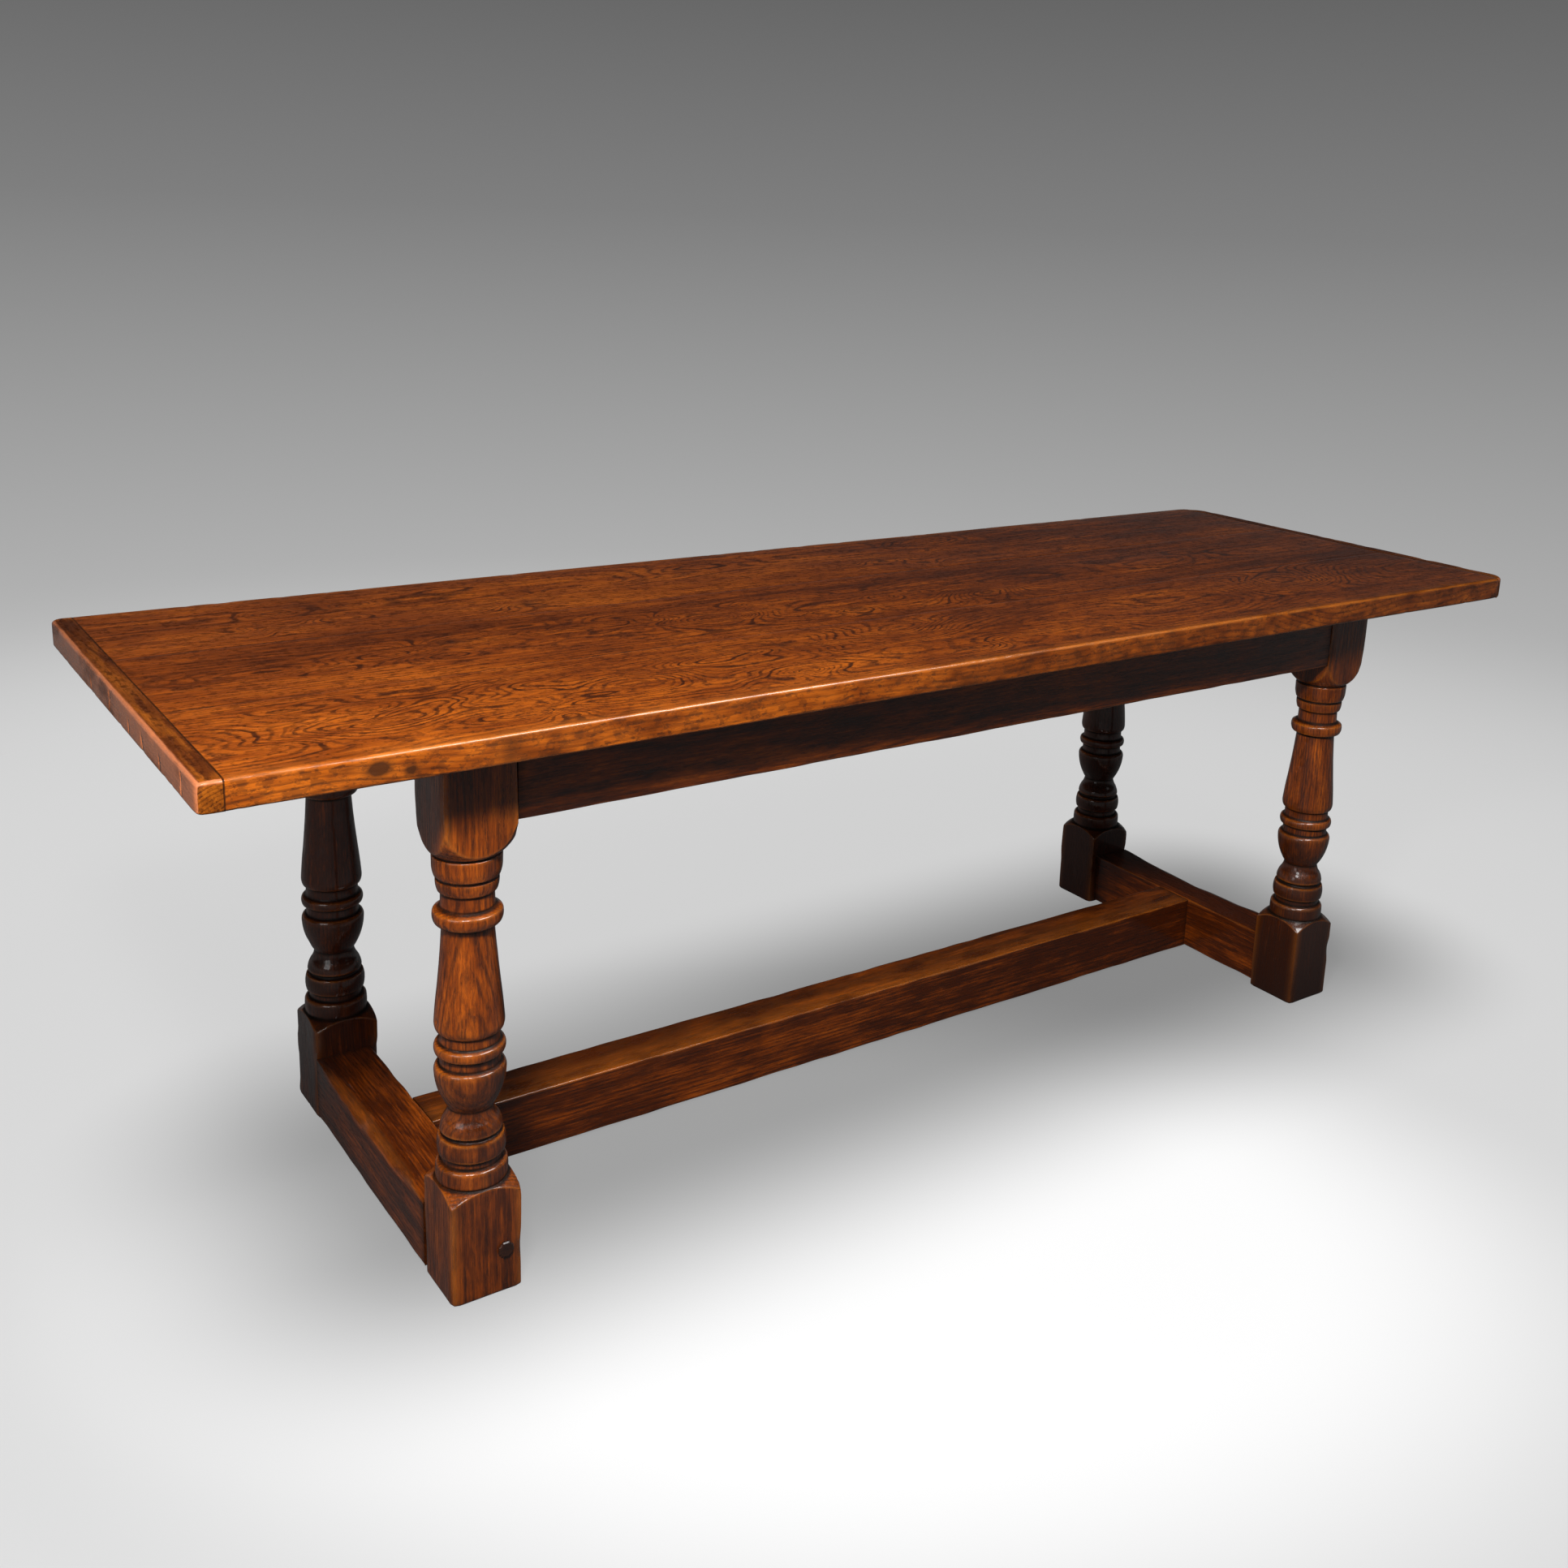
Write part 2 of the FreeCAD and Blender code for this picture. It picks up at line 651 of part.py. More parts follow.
def button_screws(name, places):
    """All the screws that hold the buttons to the boards, as one group."""
    body = new_body("button_screw")
    profile = outline(body, "profile", "XZ_Plane", polygon((
        (nothing, -size.button_thickness), (size.screw_head_diameter / 2, -size.button_thickness),
        (screw_radius, size.screw_head_height - size.button_thickness),
        (screw_radius, size.screw_bite - size.screw_point), (nothing, size.screw_bite),
    )))
    revolve(body, profile)
    copies = []
    for count, (x, y) in enumerate(places, start=1):
        copy = doc.addObject("App::Link", f"button_screw_{count}")
        copy.LinkedObject = body
        place(copy, x, y, leg_height)
        copies.append(copy)
    group = doc.addObject("Part::Compound", name)
    group.Links = copies
    return keep(group, name)


# Rails and their buttons. A button's screw stands a little in from the rail's inner face.
long_rail_length = (leg_x - half_leg) * 2
end_rail_length = (leg_y - half_leg) * 2
rail_y = leg_y + long_rail_inset
rail_x = leg_x + end_rail_inset
rail("rail_front", long_rail_length, nothing, -rail_y, 0)
rail("rail_back", long_rail_length, nothing, rail_y, 180)
rail("rail_left", end_rail_length, -rail_x, nothing, -90)
rail("rail_right", end_rail_length, rail_x, nothing, 90)

inner_y = rail_y - size.rail_thickness / 2
inner_x = rail_x - size.rail_thickness / 2
front_screws = [(long_rail_length * share, screw_x - inner_y) for share in LONG_RAIL_BUTTON_SHARES]
back_screws = [(long_rail_length * share, inner_y - screw_x) for share in LONG_RAIL_BUTTON_SHARES]
left_screws = [(screw_x - inner_x, end_rail_length * share) for share in END_RAIL_BUTTON_SHARES]
right_screws = [(inner_x - screw_x, end_rail_length * share) for share in END_RAIL_BUTTON_SHARES]
for count, (x, _) in enumerate(front_screws, start=1):
    button(f"button_front_{count}", x, -inner_y, 90)
for count, (x, _) in enumerate(back_screws, start=1):
    button(f"button_back_{count}", x, inner_y, -90)
for count, (_, y) in enumerate(left_screws, start=1):
    button(f"button_left_{count}", -inner_x, y, 0)
for count, (_, y) in enumerate(right_screws, start=1):
    button(f"button_right_{count}", inner_x, y, 180)
button_screws("button_screws", front_screws + back_screws + left_screws + right_screws)

# Legs and stretchers
turning = turning_waste()
for leg_name, (towards_x, towards_y) in LEGS.items():
    leg(leg_name, towards_x, towards_y, leg_name == "leg_front_left", turning)
end_stretcher_x = leg_x + end_stretcher_inset
end_stretcher("stretcher_left", -end_stretcher_x, -90, True)
end_stretcher("stretcher_right", end_stretcher_x, 90, False)
long_stretcher("stretcher_long", end_stretcher_x * 2 - size.end_stretcher_width)
foot_peg("foot_peg")

# Top: the outer boards' tongues stop short of the long edges and of the grooves beside the middle board
slab = top_outline()
tongue_limit = half_width - size.end_tongue_setback
beside_groove = board_seam + board_groove_depth
top_board("top_board_front", -half_width, -board_seam, "plain", "groove",
          (-tongue_limit, -beside_groove), front_screws, slab)
top_board("top_board_middle", -board_seam, board_seam, "tongue", "tongue",
          (-board_seam, board_seam), left_screws + right_screws, slab)
top_board("top_board_back", board_seam, half_width, "groove", "plain",
          (beside_groove, tongue_limit), back_screws, slab)
cleat("cleat_left", -1, slab)
cleat("cleat_right", 1, slab)

doc.recompute()
for each in doc.Objects:
    if "Invalid" in each.State or "Error" in each.State:
        raise RuntimeError(f"{each.Label} failed: {each.State}")
for piece in pieces:
    if piece.Shape.isNull() or not piece.Shape.isValid():
        raise RuntimeError(f"{piece.Label} has no valid shape")

os.makedirs("parts", exist_ok=True)
for piece in pieces:
    piece.Shape.exportStep(f"parts/{piece.Label}.step")
    volume = piece.Shape.Volume / CUBIC_MM_PER_CUBIC_CM
    print(f"{piece.Label}: {len(piece.Shape.Solids)} solid(s), {volume:.1f} cm3")
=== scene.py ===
import itertools
import math

import bpy
import numpy as np
from mathutils import Matrix, Vector


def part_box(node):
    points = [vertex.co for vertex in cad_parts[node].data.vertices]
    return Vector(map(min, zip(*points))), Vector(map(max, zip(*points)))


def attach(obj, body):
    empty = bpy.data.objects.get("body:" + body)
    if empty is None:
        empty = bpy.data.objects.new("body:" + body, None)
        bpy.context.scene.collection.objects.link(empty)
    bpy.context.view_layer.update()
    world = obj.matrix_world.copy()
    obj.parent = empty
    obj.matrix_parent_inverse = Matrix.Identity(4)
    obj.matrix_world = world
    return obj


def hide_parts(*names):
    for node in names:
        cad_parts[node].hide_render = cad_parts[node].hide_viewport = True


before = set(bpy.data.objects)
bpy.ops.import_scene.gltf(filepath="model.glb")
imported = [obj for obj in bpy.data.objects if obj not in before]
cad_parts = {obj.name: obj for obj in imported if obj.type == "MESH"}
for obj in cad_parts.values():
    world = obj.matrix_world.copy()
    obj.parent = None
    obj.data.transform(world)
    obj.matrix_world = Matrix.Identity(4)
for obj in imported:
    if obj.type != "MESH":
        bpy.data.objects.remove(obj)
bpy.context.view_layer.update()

axisNames = "xyz"
touching = 1e-6  # a point nearer than this to a face lies in it
print("frame loaded:", len(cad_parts), "nodes")


# Noise for wear and figure: smooth, from -1 to 1, the same on every run
noiseMix = np.array((73856093, 19349663, 83492791), np.int64)
noiseSeedStep = 7919
noiseScramble = 1274126177
noiseShifts = (13, 8)
noiseLevels = 65536


def softNoise(points, scale, seed):
    cells = points / np.asarray(scale)
    low = np.floor(cells)
    part = cells - low
    blend = part * part * (3 - 2 * part)
    total = np.zeros(len(points))
    for corner in itertools.product((0, 1), repeat=3):
        mixed = (low + corner).astype(np.int64) @ noiseMix + seed * noiseSeedStep
        mixed = (mixed ^ (mixed >> noiseShifts[0])) * noiseScramble
        value = ((mixed >> noiseShifts[1]) % noiseLevels) / noiseLevels
        total += value * np.prod(np.where(corner, blend, 1 - blend), axis=1)
    return total * 2 - 1


def alongOnly(points, axis):  # the same points with every other coordinate dropped
    line = np.zeros_like(points)
    line[:, axis] = points[:, axis]
    return line


def fading(distance, reach):  # 1 at the place itself, falling to 0 at its reach
    return np.clip(1 - distance / reach, 0, 1)


shortestLength = 1e-9


def unitVectors(vectors):
    return vectors / np.maximum(np.linalg.norm(vectors, axis=1), shortestLength)[:, None]


# Boxes of quads, with lines that crowd towards the edges
edgeSteps = 7


def gridLines(low, high, cell, lowEdge, highEdge):
    steps = (np.arange(edgeSteps + 1) / edgeSteps) ** 2
    start = low + lowEdge
    finish = high - highEdge
    inner = np.linspace(start, finish, max(2, math.ceil((finish - start) / cell) + 1))
    return np.concatenate((low + steps * lowEdge, inner[1:-1], high - steps[::-1] * highEdge))


def gridBox(lines):
    counts = [len(each) for each in lines]
    numbers = np.arange(np.prod(counts)).reshape(counts)
    quads = []
    for axis in range(3):
        for side in (0, -1):
            sheet = np.take(numbers, side, axis)
            if (axis == 1) == (side == -1):
                sheet = sheet.T
            corners = (sheet[:-1, :-1], sheet[1:, :-1], sheet[1:, 1:], sheet[:-1, 1:])
            quads.append(np.stack(corners, -1).reshape(-1, 4))
    used, faces = np.unique(np.concatenate(quads), return_inverse=True)
    places = np.unravel_index(used, counts)
    points = np.stack([line[place] for line, place in zip(lines, places)], 1)
    return points, faces.reshape(-1, 4)


roundEdge = 2  # fullness of a round edge; 1 is a flat bevel


# Moves points of two faces that meet in an edge onto a curve. The faces are given by the distances of the
# points from them. Also tells how near each point is to the edge.
def softenEdge(first, second, radius, fullness):
    tiny = 1e-7
    onFirst = (first < tiny) & (second < radius)
    onSecond = (second < tiny) & (first < radius)
    share = np.where(onFirst, -second, first) / radius
    angle = np.clip((1 + share) * math.pi / 4, 0, math.pi / 2)
    power = 2 / fullness
    touched = onFirst | onSecond
    newFirst = np.where(touched, radius * (1 - np.cos(angle) ** power), first)
    newSecond = np.where(touched, radius * (1 - np.sin(angle) ** power), second)
    return newFirst, newSecond, np.where(touched, 1 - np.abs(share), 0)


def dent(points, inward, centre, width, depth):
    away = np.linalg.norm(points - centre, axis=1) / width
    points += inward * (depth * np.exp(-away * away))[:, None]


loopRings = 1.6  # rings that a loop of strength 1 adds at its middle


# The growth rings of a piece, counted from the heart of its tree. Grain coordinates run along the fibres,
# across and up. Loops are ovals of nested rings, as oak has round knots and where the trunk bends.
def growthRings(grain, timber):
    along = alongOnly(grain, 0)
    seed = timber["seed"]
    fromHeart = [grain[:, side + 1] - timber["heart"][side]
                 - timber["sway"] * softNoise(along, timber["swayLength"], seed + side) for side in (0, 1)]
    distance = np.hypot(*fromHeart)
    for amount, scale in timber["waves"]:
        distance += amount * softNoise(grain, scale, seed + 2)
    rings = distance / timber["ringSpacing"]
    for x, y, length, width, count in timber.get("loops", ()):
        away = ((grain[:, 0] - x) / length) ** 2 + ((grain[:, 1] - y) / width) ** 2
        rings += loopRings * count * np.exp(-away)
    return rings


def addObject(name, data):
    newObject = bpy.data.objects.new(name, data)
    bpy.context.scene.collection.objects.link(newObject)
    return newObject


sharpAngle = 50  # degrees; edges that turn more than this look sharp


def makePiece(name, points, faces, fields, finish, slot, *nodes):
    mesh = bpy.data.meshes.new(name)
    mesh.from_pydata(points.tolist(), [], [list(face) for face in faces])
    for field, values in fields.items():
        isVector = values.ndim == 2
        attribute = mesh.attributes.new(field, "FLOAT_VECTOR" if isVector else "FLOAT", "POINT")
        attribute.data.foreach_set("vector" if isVector else "value", values.astype(np.float32).ravel())
    mesh.materials.append(finish)
    mesh.shade_smooth()
    mesh.set_sharp_from_angle(angle=math.radians(sharpAngle))
    piece = addObject(name, mesh)
    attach(piece, "root")
    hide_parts(*nodes)
    return piece


# Shader nodes
class NodeTree:
    def __init__(self, tree):
        self.tree = tree
        tree.nodes.clear()

    def put(self, socket, value):
        if isinstance(value, bpy.types.NodeSocket):
            self.tree.links.new(value, socket)
        else:
            socket.default_value = value

    def add(self, kind, inputs=None, **settings):
        node = self.tree.nodes.new(kind)
        for key, value in settings.items():
            setattr(node, key, value)
        for key, value in (inputs or {}).items():
            self.put(node.inputs[key], value)
        return node

    def field(self, name, output="Fac"):
        return self.add("ShaderNodeAttribute", attribute_name=name).outputs[output]

    def sum(self, operation, first, second=0.0, third=0.0, clamp=False):
        inputs = {0: first, 1: second, 2: third}
        return self.add("ShaderNodeMath", inputs, operation=operation, use_clamp=clamp).outputs[0]

    def vector(self, operation, first, second=(0, 0, 0), output="Vector"):
        return self.add("ShaderNodeVectorMath", {0: first, 1: second}, operation=operation).outputs[output]

    def noise(self, vector, scale, detail=3.0, roughness=0.55):
        inputs = {"Vector": self.vector("MULTIPLY", vector, scale), "Scale": 1.0}
        inputs.update({"Detail": detail, "Roughness": roughness})
        return self.add("ShaderNodeTexNoise", inputs).outputs["Fac"]

    def step(self, value, start, finish, low=0.0, high=1.0):
        inputs = {"Value": value, "From Min": start, "From Max": finish, "To Min": low, "To Max": high}
        return self.add("ShaderNodeMapRange", inputs, interpolation_type="SMOOTHSTEP").outputs[0]

    def mix(self, share, first, second):
        node = self.add("ShaderNodeMix", {"Factor": share}, data_type="RGBA")
        for socket, colour in ((node.inputs[6], first), (node.inputs[7], second)):
            self.put(socket, (*colour, 1) if isinstance(colour, tuple) else colour)
        return node.outputs[2]

    def ramp(self, value, stops):
        node = self.add("ShaderNodeValToRGB", {"Fac": value})
        elements = node.color_ramp.elements
        while len(elements) < len(stops):
            elements.new(0.5)
        for element, (place, colour) in zip(elements, stops):
            element.position = place
            element.color = (*colour, 1)
        return node.outputs["Color"]


def newFinish(name):
    material = bpy.data.materials.new(name)
    material.use_nodes = True
    return material, NodeTree(material.node_tree)


# What every oak finish here shares. A pattern has a scale along, across and up the grain, a detail and, where
# it isn't plain, a roughness.
oakLook = {
    "fibre": ((5, 90, 90), 4), "cloud": ((2.2, 7, 7), 3), "patch": ((12, 32, 32), 3),
    "scribble": ((9, 40, 40), 2), "speck": ((60, 850, 850), 2, 0.6), "plainRings": ((4, 30, 30), 2),
    "streakDetail": (6, 0.68), "hairDetail": (4, 0.7), "fleckDetail": (4, 0.72),
    # lines, as shares of a ring's width, and pores, as levels of their patterns
    "ringCount": 12.0, "fibreBend": 0.5, "lineRise": (0.0, 0.12), "lineFall": (0.26, 0.54),
    "lineStrengths": (0.45, 1.0), "fullFigure": 0.8,
    "fleckOpen": (0.5, 0.57), "speckOpen": (0.55, 0.68), "poresBetweenLines": 0.65,
    # tone, and the patches that wear and dirt keep to
    "shadeStep": 0.16, "toneStops": (0.28, 0.5, 0.72),
    "wornPatches": (0.3, 0.56, 0.25, 1.0), "dirtPatches": (0.25, 0.6, 0.65, 1.0),
    # what each of them adds to the roughness, and to the height of the relief
    "poreDulls": 0.2, "dirtDulls": 0.1, "wearDulls": -0.12, "patchDulls": 0.3,
    "poreHeight": -0.8, "lineHeight": -0.6, "reliefDepth": 0.0005,
}


# Old waxed oak. The mesh says where the rings, the figure, the wear, the dirt, the stains and the painted
# shade and light are, and this paints them. Pieces taken straight from the frame have no such fields: they
# name the axes of their grain.
def oakFinish(name, oak, grainAxes=None):
    material, nodes = newFinish(name)
    if grainAxes is None:
        grain = nodes.field("grain", "Vector")
        rings = nodes.field("rings")
    else:
        spot = nodes.add("ShaderNodeTexCoord").outputs["Object"]
        parts = nodes.add("ShaderNodeSeparateXYZ", {"Vector": spot}).outputs
        turned = {place: parts[axis] for place, axis in enumerate(grainAxes)}
        grain = nodes.add("ShaderNodeCombineXYZ", turned).outputs[0]
        rings = nodes.sum("MULTIPLY", nodes.noise(grain, *oakLook["plainRings"]), oakLook["ringCount"])
    wear = nodes.field("wear")
    grime = nodes.field("grime")
    figure = nodes.field("figure")
    fibre = nodes.noise(grain, *oakLook["fibre"])
    streak = nodes.noise(grain, oak["streakScale"], *oakLook["streakDetail"])
    cloud = nodes.noise(grain, *oakLook["cloud"])
    hair = nodes.noise(grain, oak["hairScale"], *oakLook["hairDetail"])
    patch = nodes.noise(grain, *oakLook["patch"])
    scribble = nodes.noise(grain, *oakLook["scribble"])
    fleck = nodes.noise(grain, oak["fleckScale"], *oakLook["fleckDetail"])
    speck = nodes.noise(grain, *oakLook["speck"])

    # thin dark lines, one for each ring, strong where the figure is
    bend = nodes.sum("MULTIPLY", nodes.sum("MULTIPLY", scribble, figure), oak["scribble"])
    phase = nodes.sum("ADD", rings, nodes.sum("MULTIPLY_ADD", fibre, oakLook["fibreBend"], bend))
    turn = nodes.sum("FRACT", phase)
    ringNumber = nodes.sum("FLOOR", phase)
    ringTone = nodes.add("ShaderNodeTexWhiteNoise", {"W": ringNumber}, noise_dimensions="1D").outputs["Value"]
    rise = nodes.step(turn, *oakLook["lineRise"])
    line = nodes.sum("MULTIPLY", rise, nodes.step(turn, *oakLook["lineFall"], 1.0, 0.0))
    ringStrength = nodes.step(ringTone, 0.0, 1.0, *oakLook["lineStrengths"])
    figureStrength = nodes.step(figure, 0.0, oakLook["fullFigure"], oak["plainLines"], 1.0)
    band = nodes.sum("MULTIPLY", line, nodes.sum("MULTIPLY", ringStrength, figureStrength))
    openFlecks = nodes.step(fleck, *oakLook["fleckOpen"])
    openPores = nodes.sum("MAXIMUM", openFlecks, nodes.step(speck, *oakLook["speckOpen"]))
    pore = nodes.sum("MULTIPLY", openPores, nodes.step(line, 0.0, 1.0, oakLook["poresBetweenLines"], 1.0))

    # colour, from the bare tone of the wood to the dirt on top; the shade and stain fields carry painted shade
    # and light as well as tone and stains
    layers = ((oak["streaks"], streak), (oak["clouds"], cloud), (oak["patches"], patch), (oak["hairs"], hair))
    bareTone = 0.5 - sum(amount for amount, layer in layers) / 2
    tone = nodes.sum("MULTIPLY_ADD", nodes.field("shade"), oakLook["shadeStep"], bareTone)
    for amount, layer in layers:
        tone = nodes.sum("MULTIPLY_ADD", layer, amount, tone)
    colour = nodes.ramp(tone, list(zip(oakLook["toneStops"], (oak["dark"], oak["middle"], oak["light"]))))
    colour = nodes.mix(nodes.sum("MULTIPLY", band, oak["ringDepth"]), colour, oak["ring"])
    colour = nodes.mix(nodes.sum("MULTIPLY", pore, oak["poreDepth"]), colour, oak["pore"])
    # stains, and painted shade on the legs
    colour = nodes.mix(nodes.field("stain"), colour, oak["stain"])
    worn = nodes.sum("MULTIPLY", wear, nodes.step(patch, *oakLook["wornPatches"]), clamp=True)
    colour = nodes.mix(nodes.sum("MULTIPLY", worn, oak["wornDepth"]), colour, oak["worn"])
    dirt = nodes.sum("MULTIPLY", grime, nodes.step(patch, *oakLook["dirtPatches"]), clamp=True)
    colour = nodes.mix(dirt, colour, oak["grime"])

    # gloss and relief
    dullness = nodes.sum("MULTIPLY_ADD", dirt, oakLook["dirtDulls"], oak["roughness"])
    dullness = nodes.sum("MULTIPLY_ADD", pore, oakLook["poreDulls"], dullness)
    dullness = nodes.sum("MULTIPLY_ADD", worn, oakLook["wearDulls"], dullness)
    patchy = nodes.sum("SUBTRACT", patch, 0.5)
    dullness = nodes.sum("MULTIPLY_ADD", patchy, oakLook["patchDulls"], dullness, clamp=True)
    relief = nodes.sum("MULTIPLY_ADD", band, oakLook["lineHeight"], fibre)
    relief = nodes.sum("MULTIPLY_ADD", pore, oakLook["poreHeight"], relief)
    bumps = {"Height": relief, "Strength": oak["relief"], "Distance": oakLook["reliefDepth"]}
    bump = nodes.add("ShaderNodeBump", bumps)
    clean = nodes.sum("SUBTRACT", 1.0, dirt, clamp=True)  # dirt carries no wax
    wax = nodes.sum("MULTIPLY_ADD", worn, oak["polish"], oak["wax"])
    shader = nodes.add("ShaderNodeBsdfPrincipled", {
        "Base Color": colour, "Roughness": dullness, "Normal": bump.outputs["Normal"],
        "Specular IOR Level": oak["specular"], "Coat Roughness": oak["waxRoughness"],
        "Coat Weight": nodes.sum("MULTIPLY", clean, wax),
    })
    nodes.add("ShaderNodeOutputMaterial", {"Surface": shader.outputs["BSDF"]})
    return material


# How strongly each point lies in any of the listed ovals: place, half length, half width and strength
def spotField(points, spots):
    total = np.zeros(len(points))
    for x, y, length, width, amount in spots:
        away = ((points[:, 0] - x) / length) ** 2 + ((points[:, 1] - y) / width) ** 2
        total = np.maximum(total, amount * np.exp(-away))
    return total


# Top: three boards between two cleats, one slab with worn arrises and uneven corners
top = {
    "finish": {
        "light": (0.69, 0.155, 0.008), "middle": (0.38, 0.073, 0.004), "dark": (0.13, 0.023, 0.002),
        "ring": (0.04, 0.008, 0.002), "pore": (0.045, 0.009, 0.002), "stain": (0.04, 0.010, 0.004),
        "worn": (0.76, 0.22, 0.03), "grime": (0.018, 0.007, 0.003),
        "ringDepth": 0.95, "plainLines": 0.6, "scribble": 2.2, "poreDepth": 0.75, "wornDepth": 0.8,
        "streaks": 0.45, "clouds": 0.6, "patches": 0.4, "hairs": 0.6,
        "streakScale": (3.2, 46, 46), "hairScale": (9, 150, 150), "fleckScale": (75, 120, 120),
        "roughness": 0.36, "relief": 0.35, "specular": 0.3,
        "wax": 0.5, "waxRoughness": 0.14, "polish": 0.8,
    },
    "cleatFinish": {
        "light": (0.46, 0.120, 0.009), "middle": (0.17, 0.037, 0.004), "dark": (0.06, 0.013, 0.003),
        # the cleats' worn colour covers their end faces: partly wear, partly painted light and sheen
        "worn": (0.84, 0.27, 0.11), "plainLines": 0.5, "clouds": 0.5, "specular": 0.2, "wax": 0.2,
    },
    "cell": 0.006,
    "cornerRadii": {(-1, -1): 0.008, (1, -1): 0.034, (-1, 1): 0.017, (1, 1): 0.050},
    # worn arrises, seams, and what is no longer straight or flat
    "upperArris": 0.0048, "lowerArris": 0.0042, "arrisUnevenness": 0.16, "arrisLength": 0.12,
    "seamWidth": 0.0012, "seamDepth": 0.00015, "seamReach": 0.008, "seamGrime": 2.2,
    "edgeWave": 0.0006, "edgeWaveLength": 0.2, "edgeWaveReach": 0.03,
    "hollow": 0.0004, "hollowLength": (0.3, 0.11, 1.0), "hollowReach": 0.02,
    "dents": 46, "dentDepth": (0.0002, 0.0007), "dentWidth": (0.003, 0.010), "dentsNear": 0.5,
    # light and dark places: the darkening towards the right end is painted shade, and the lighter edge faces
    # are painted light
    "paintedShadeRight": 0.55, "paintedShadeFrom": 0.3, "goldShade": 1.2,
    "figureShade": 0.3, "figureReach": 1.7, "fullFigure": 2.5,
    "edgePaintedLight": 0.4, "edgeMottle": 1.4, "edgeMottleLength": (0.016, 1.0, 0.009),
    # wear of the arrises, of the rim of the upper face and of the edge faces; on the edge faces the worn
    # colour is partly painted light
    "arrisWear": 1.3, "lowerArrisWear": 0.6, "rimWear": 0.6, "rimReach": 0.010, "rimDepth": 0.001,
    "edgeWearAndLight": 0.12,
}
board = {
    "front": {
        "heart": (-0.262, 0.655), "swayLength": 0.36, "seed": 11,
        "waves": ((0.006, (0.16, 0.075, 0.3)), (0.0025, (0.07, 0.035, 0.2)), (0.001, (0.035, 0.02, 0.1))),
        "loops": ((-0.91, -0.262, 0.12, 0.058, 6), (-0.70, -0.22, 0.09, 0.035, -3.5),
                  (-0.56, -0.27, 0.08, 0.045, 4.5), (-0.43, -0.21, 0.07, 0.03, -3),
                  (-0.33, -0.30, 0.09, 0.03, 3), (-0.29, -0.19, 0.035, 0.022, 2.5),
                  (-0.12, -0.20, 0.09, 0.05, 5.5), (0.02, -0.31, 0.08, 0.035, 3),
                  (0.17, -0.31, 0.09, 0.035, 3), (0.40, -0.24, 0.08, 0.03, 2.5),
                  (0.72, -0.22, 0.12, 0.055, 6)),
        "scattered": (34, (-1.05, -0.02), (-0.34, -0.16)),
        "shade": 0.0,
        "gold": ((-0.27, -0.31, 0.14, 0.045, 0.8), (-0.55, -0.33, 0.10, 0.03, 0.5),
                 (0.3, -0.33, 0.3, 0.03, 0.5)),
        "stains": ((-0.30, -0.19, 0.012, 0.014, 0.75), (0.08, -0.185, 0.09, 0.03, 0.35),
                   (-0.79, -0.385, 0.016, 0.02, 0.7)),
        "edgeSpots": ((-0.942, 0.754, 0.013, 0.008, 2.0), (-0.906, 0.747, 0.008, 0.006, 1.6),
                      (-0.975, 0.760, 0.016, 0.004, 0.6), (-0.72, 0.748, 0.02, 0.004, 0.4)),
    },
    "middle": {
        "heart": (-0.01, 0.655), "swayLength": 0.6, "seed": 23,
        "waves": ((0.005, (0.2, 0.07, 0.3)), (0.0025, (0.08, 0.035, 0.2)), (0.001, (0.04, 0.02, 0.1))),
        "loops": ((-0.69, 0.025, 0.07, 0.03, 4), (-0.58, 0.03, 0.05, 0.022, 2.5),
                  (-0.95, -0.01, 0.12, 0.03, 3), (-0.80, 0.0, 0.06, 0.025, -2.5),
                  (-0.31, -0.012, 0.09, 0.05, 6), (-0.45, -0.02, 0.08, 0.028, 3),
                  (-0.08, -0.06, 0.04, 0.022, 2.5), (0.17, -0.06, 0.07, 0.045, 5),
                  (0.62, 0.0, 0.14, 0.04, 3)),
        "scattered": (22, (-1.05, 0.3), (-0.05, 0.05)),
        "shade": -0.3,
        "gold": ((-0.8, 0.05, 0.12, 0.03, 0.3), (-0.45, -0.08, 0.12, 0.02, 0.4),
                 (-0.85, -0.09, 0.12, 0.02, 0.4)),
        "stains": ((-0.695, 0.025, 0.026, 0.011, 0.85), (-0.08, -0.06, 0.016, 0.014, 0.6),
                   (-0.53, -0.11, 0.02, 0.012, 0.5), (0.17, -0.05, 0.05, 0.03, 0.3)),
    },
    "back": {
        "heart": (0.30, 0.66), "swayLength": 0.8, "seed": 37,
        "waves": ((0.004, (0.3, 0.06, 0.3)), (0.0018, (0.1, 0.03, 0.2))),
        "loops": ((-0.51, 0.18, 0.05, 0.025, 3), (0.17, 0.215, 0.05, 0.025, 3), (0.34, 0.32, 0.08, 0.03, 3),
                  (-0.15, 0.3, 0.1, 0.03, 2), (0.7, 0.25, 0.12, 0.03, 2)),
        "scattered": (16, (-1.0, 1.0), (0.15, 0.34)),
        "shade": 0.1,
        "gold": ((-0.35, 0.145, 0.2, 0.02, 0.6), (0.1, 0.3, 0.2, 0.03, 0.3)),
        "stains": ((-0.51, 0.18, 0.014, 0.013, 0.7), (0.17, 0.215, 0.013, 0.010, 0.55),
                   (-0.8, 0.3, 0.05, 0.05, 0.3)),
    },
}
boardOak = {"sway": 0.02, "ringSpacing": 0.0055}  # the same in all boards
smallLoop = {"length": (0.025, 0.065), "width": (0.012, 0.026), "count": (1.2, 2.6)}
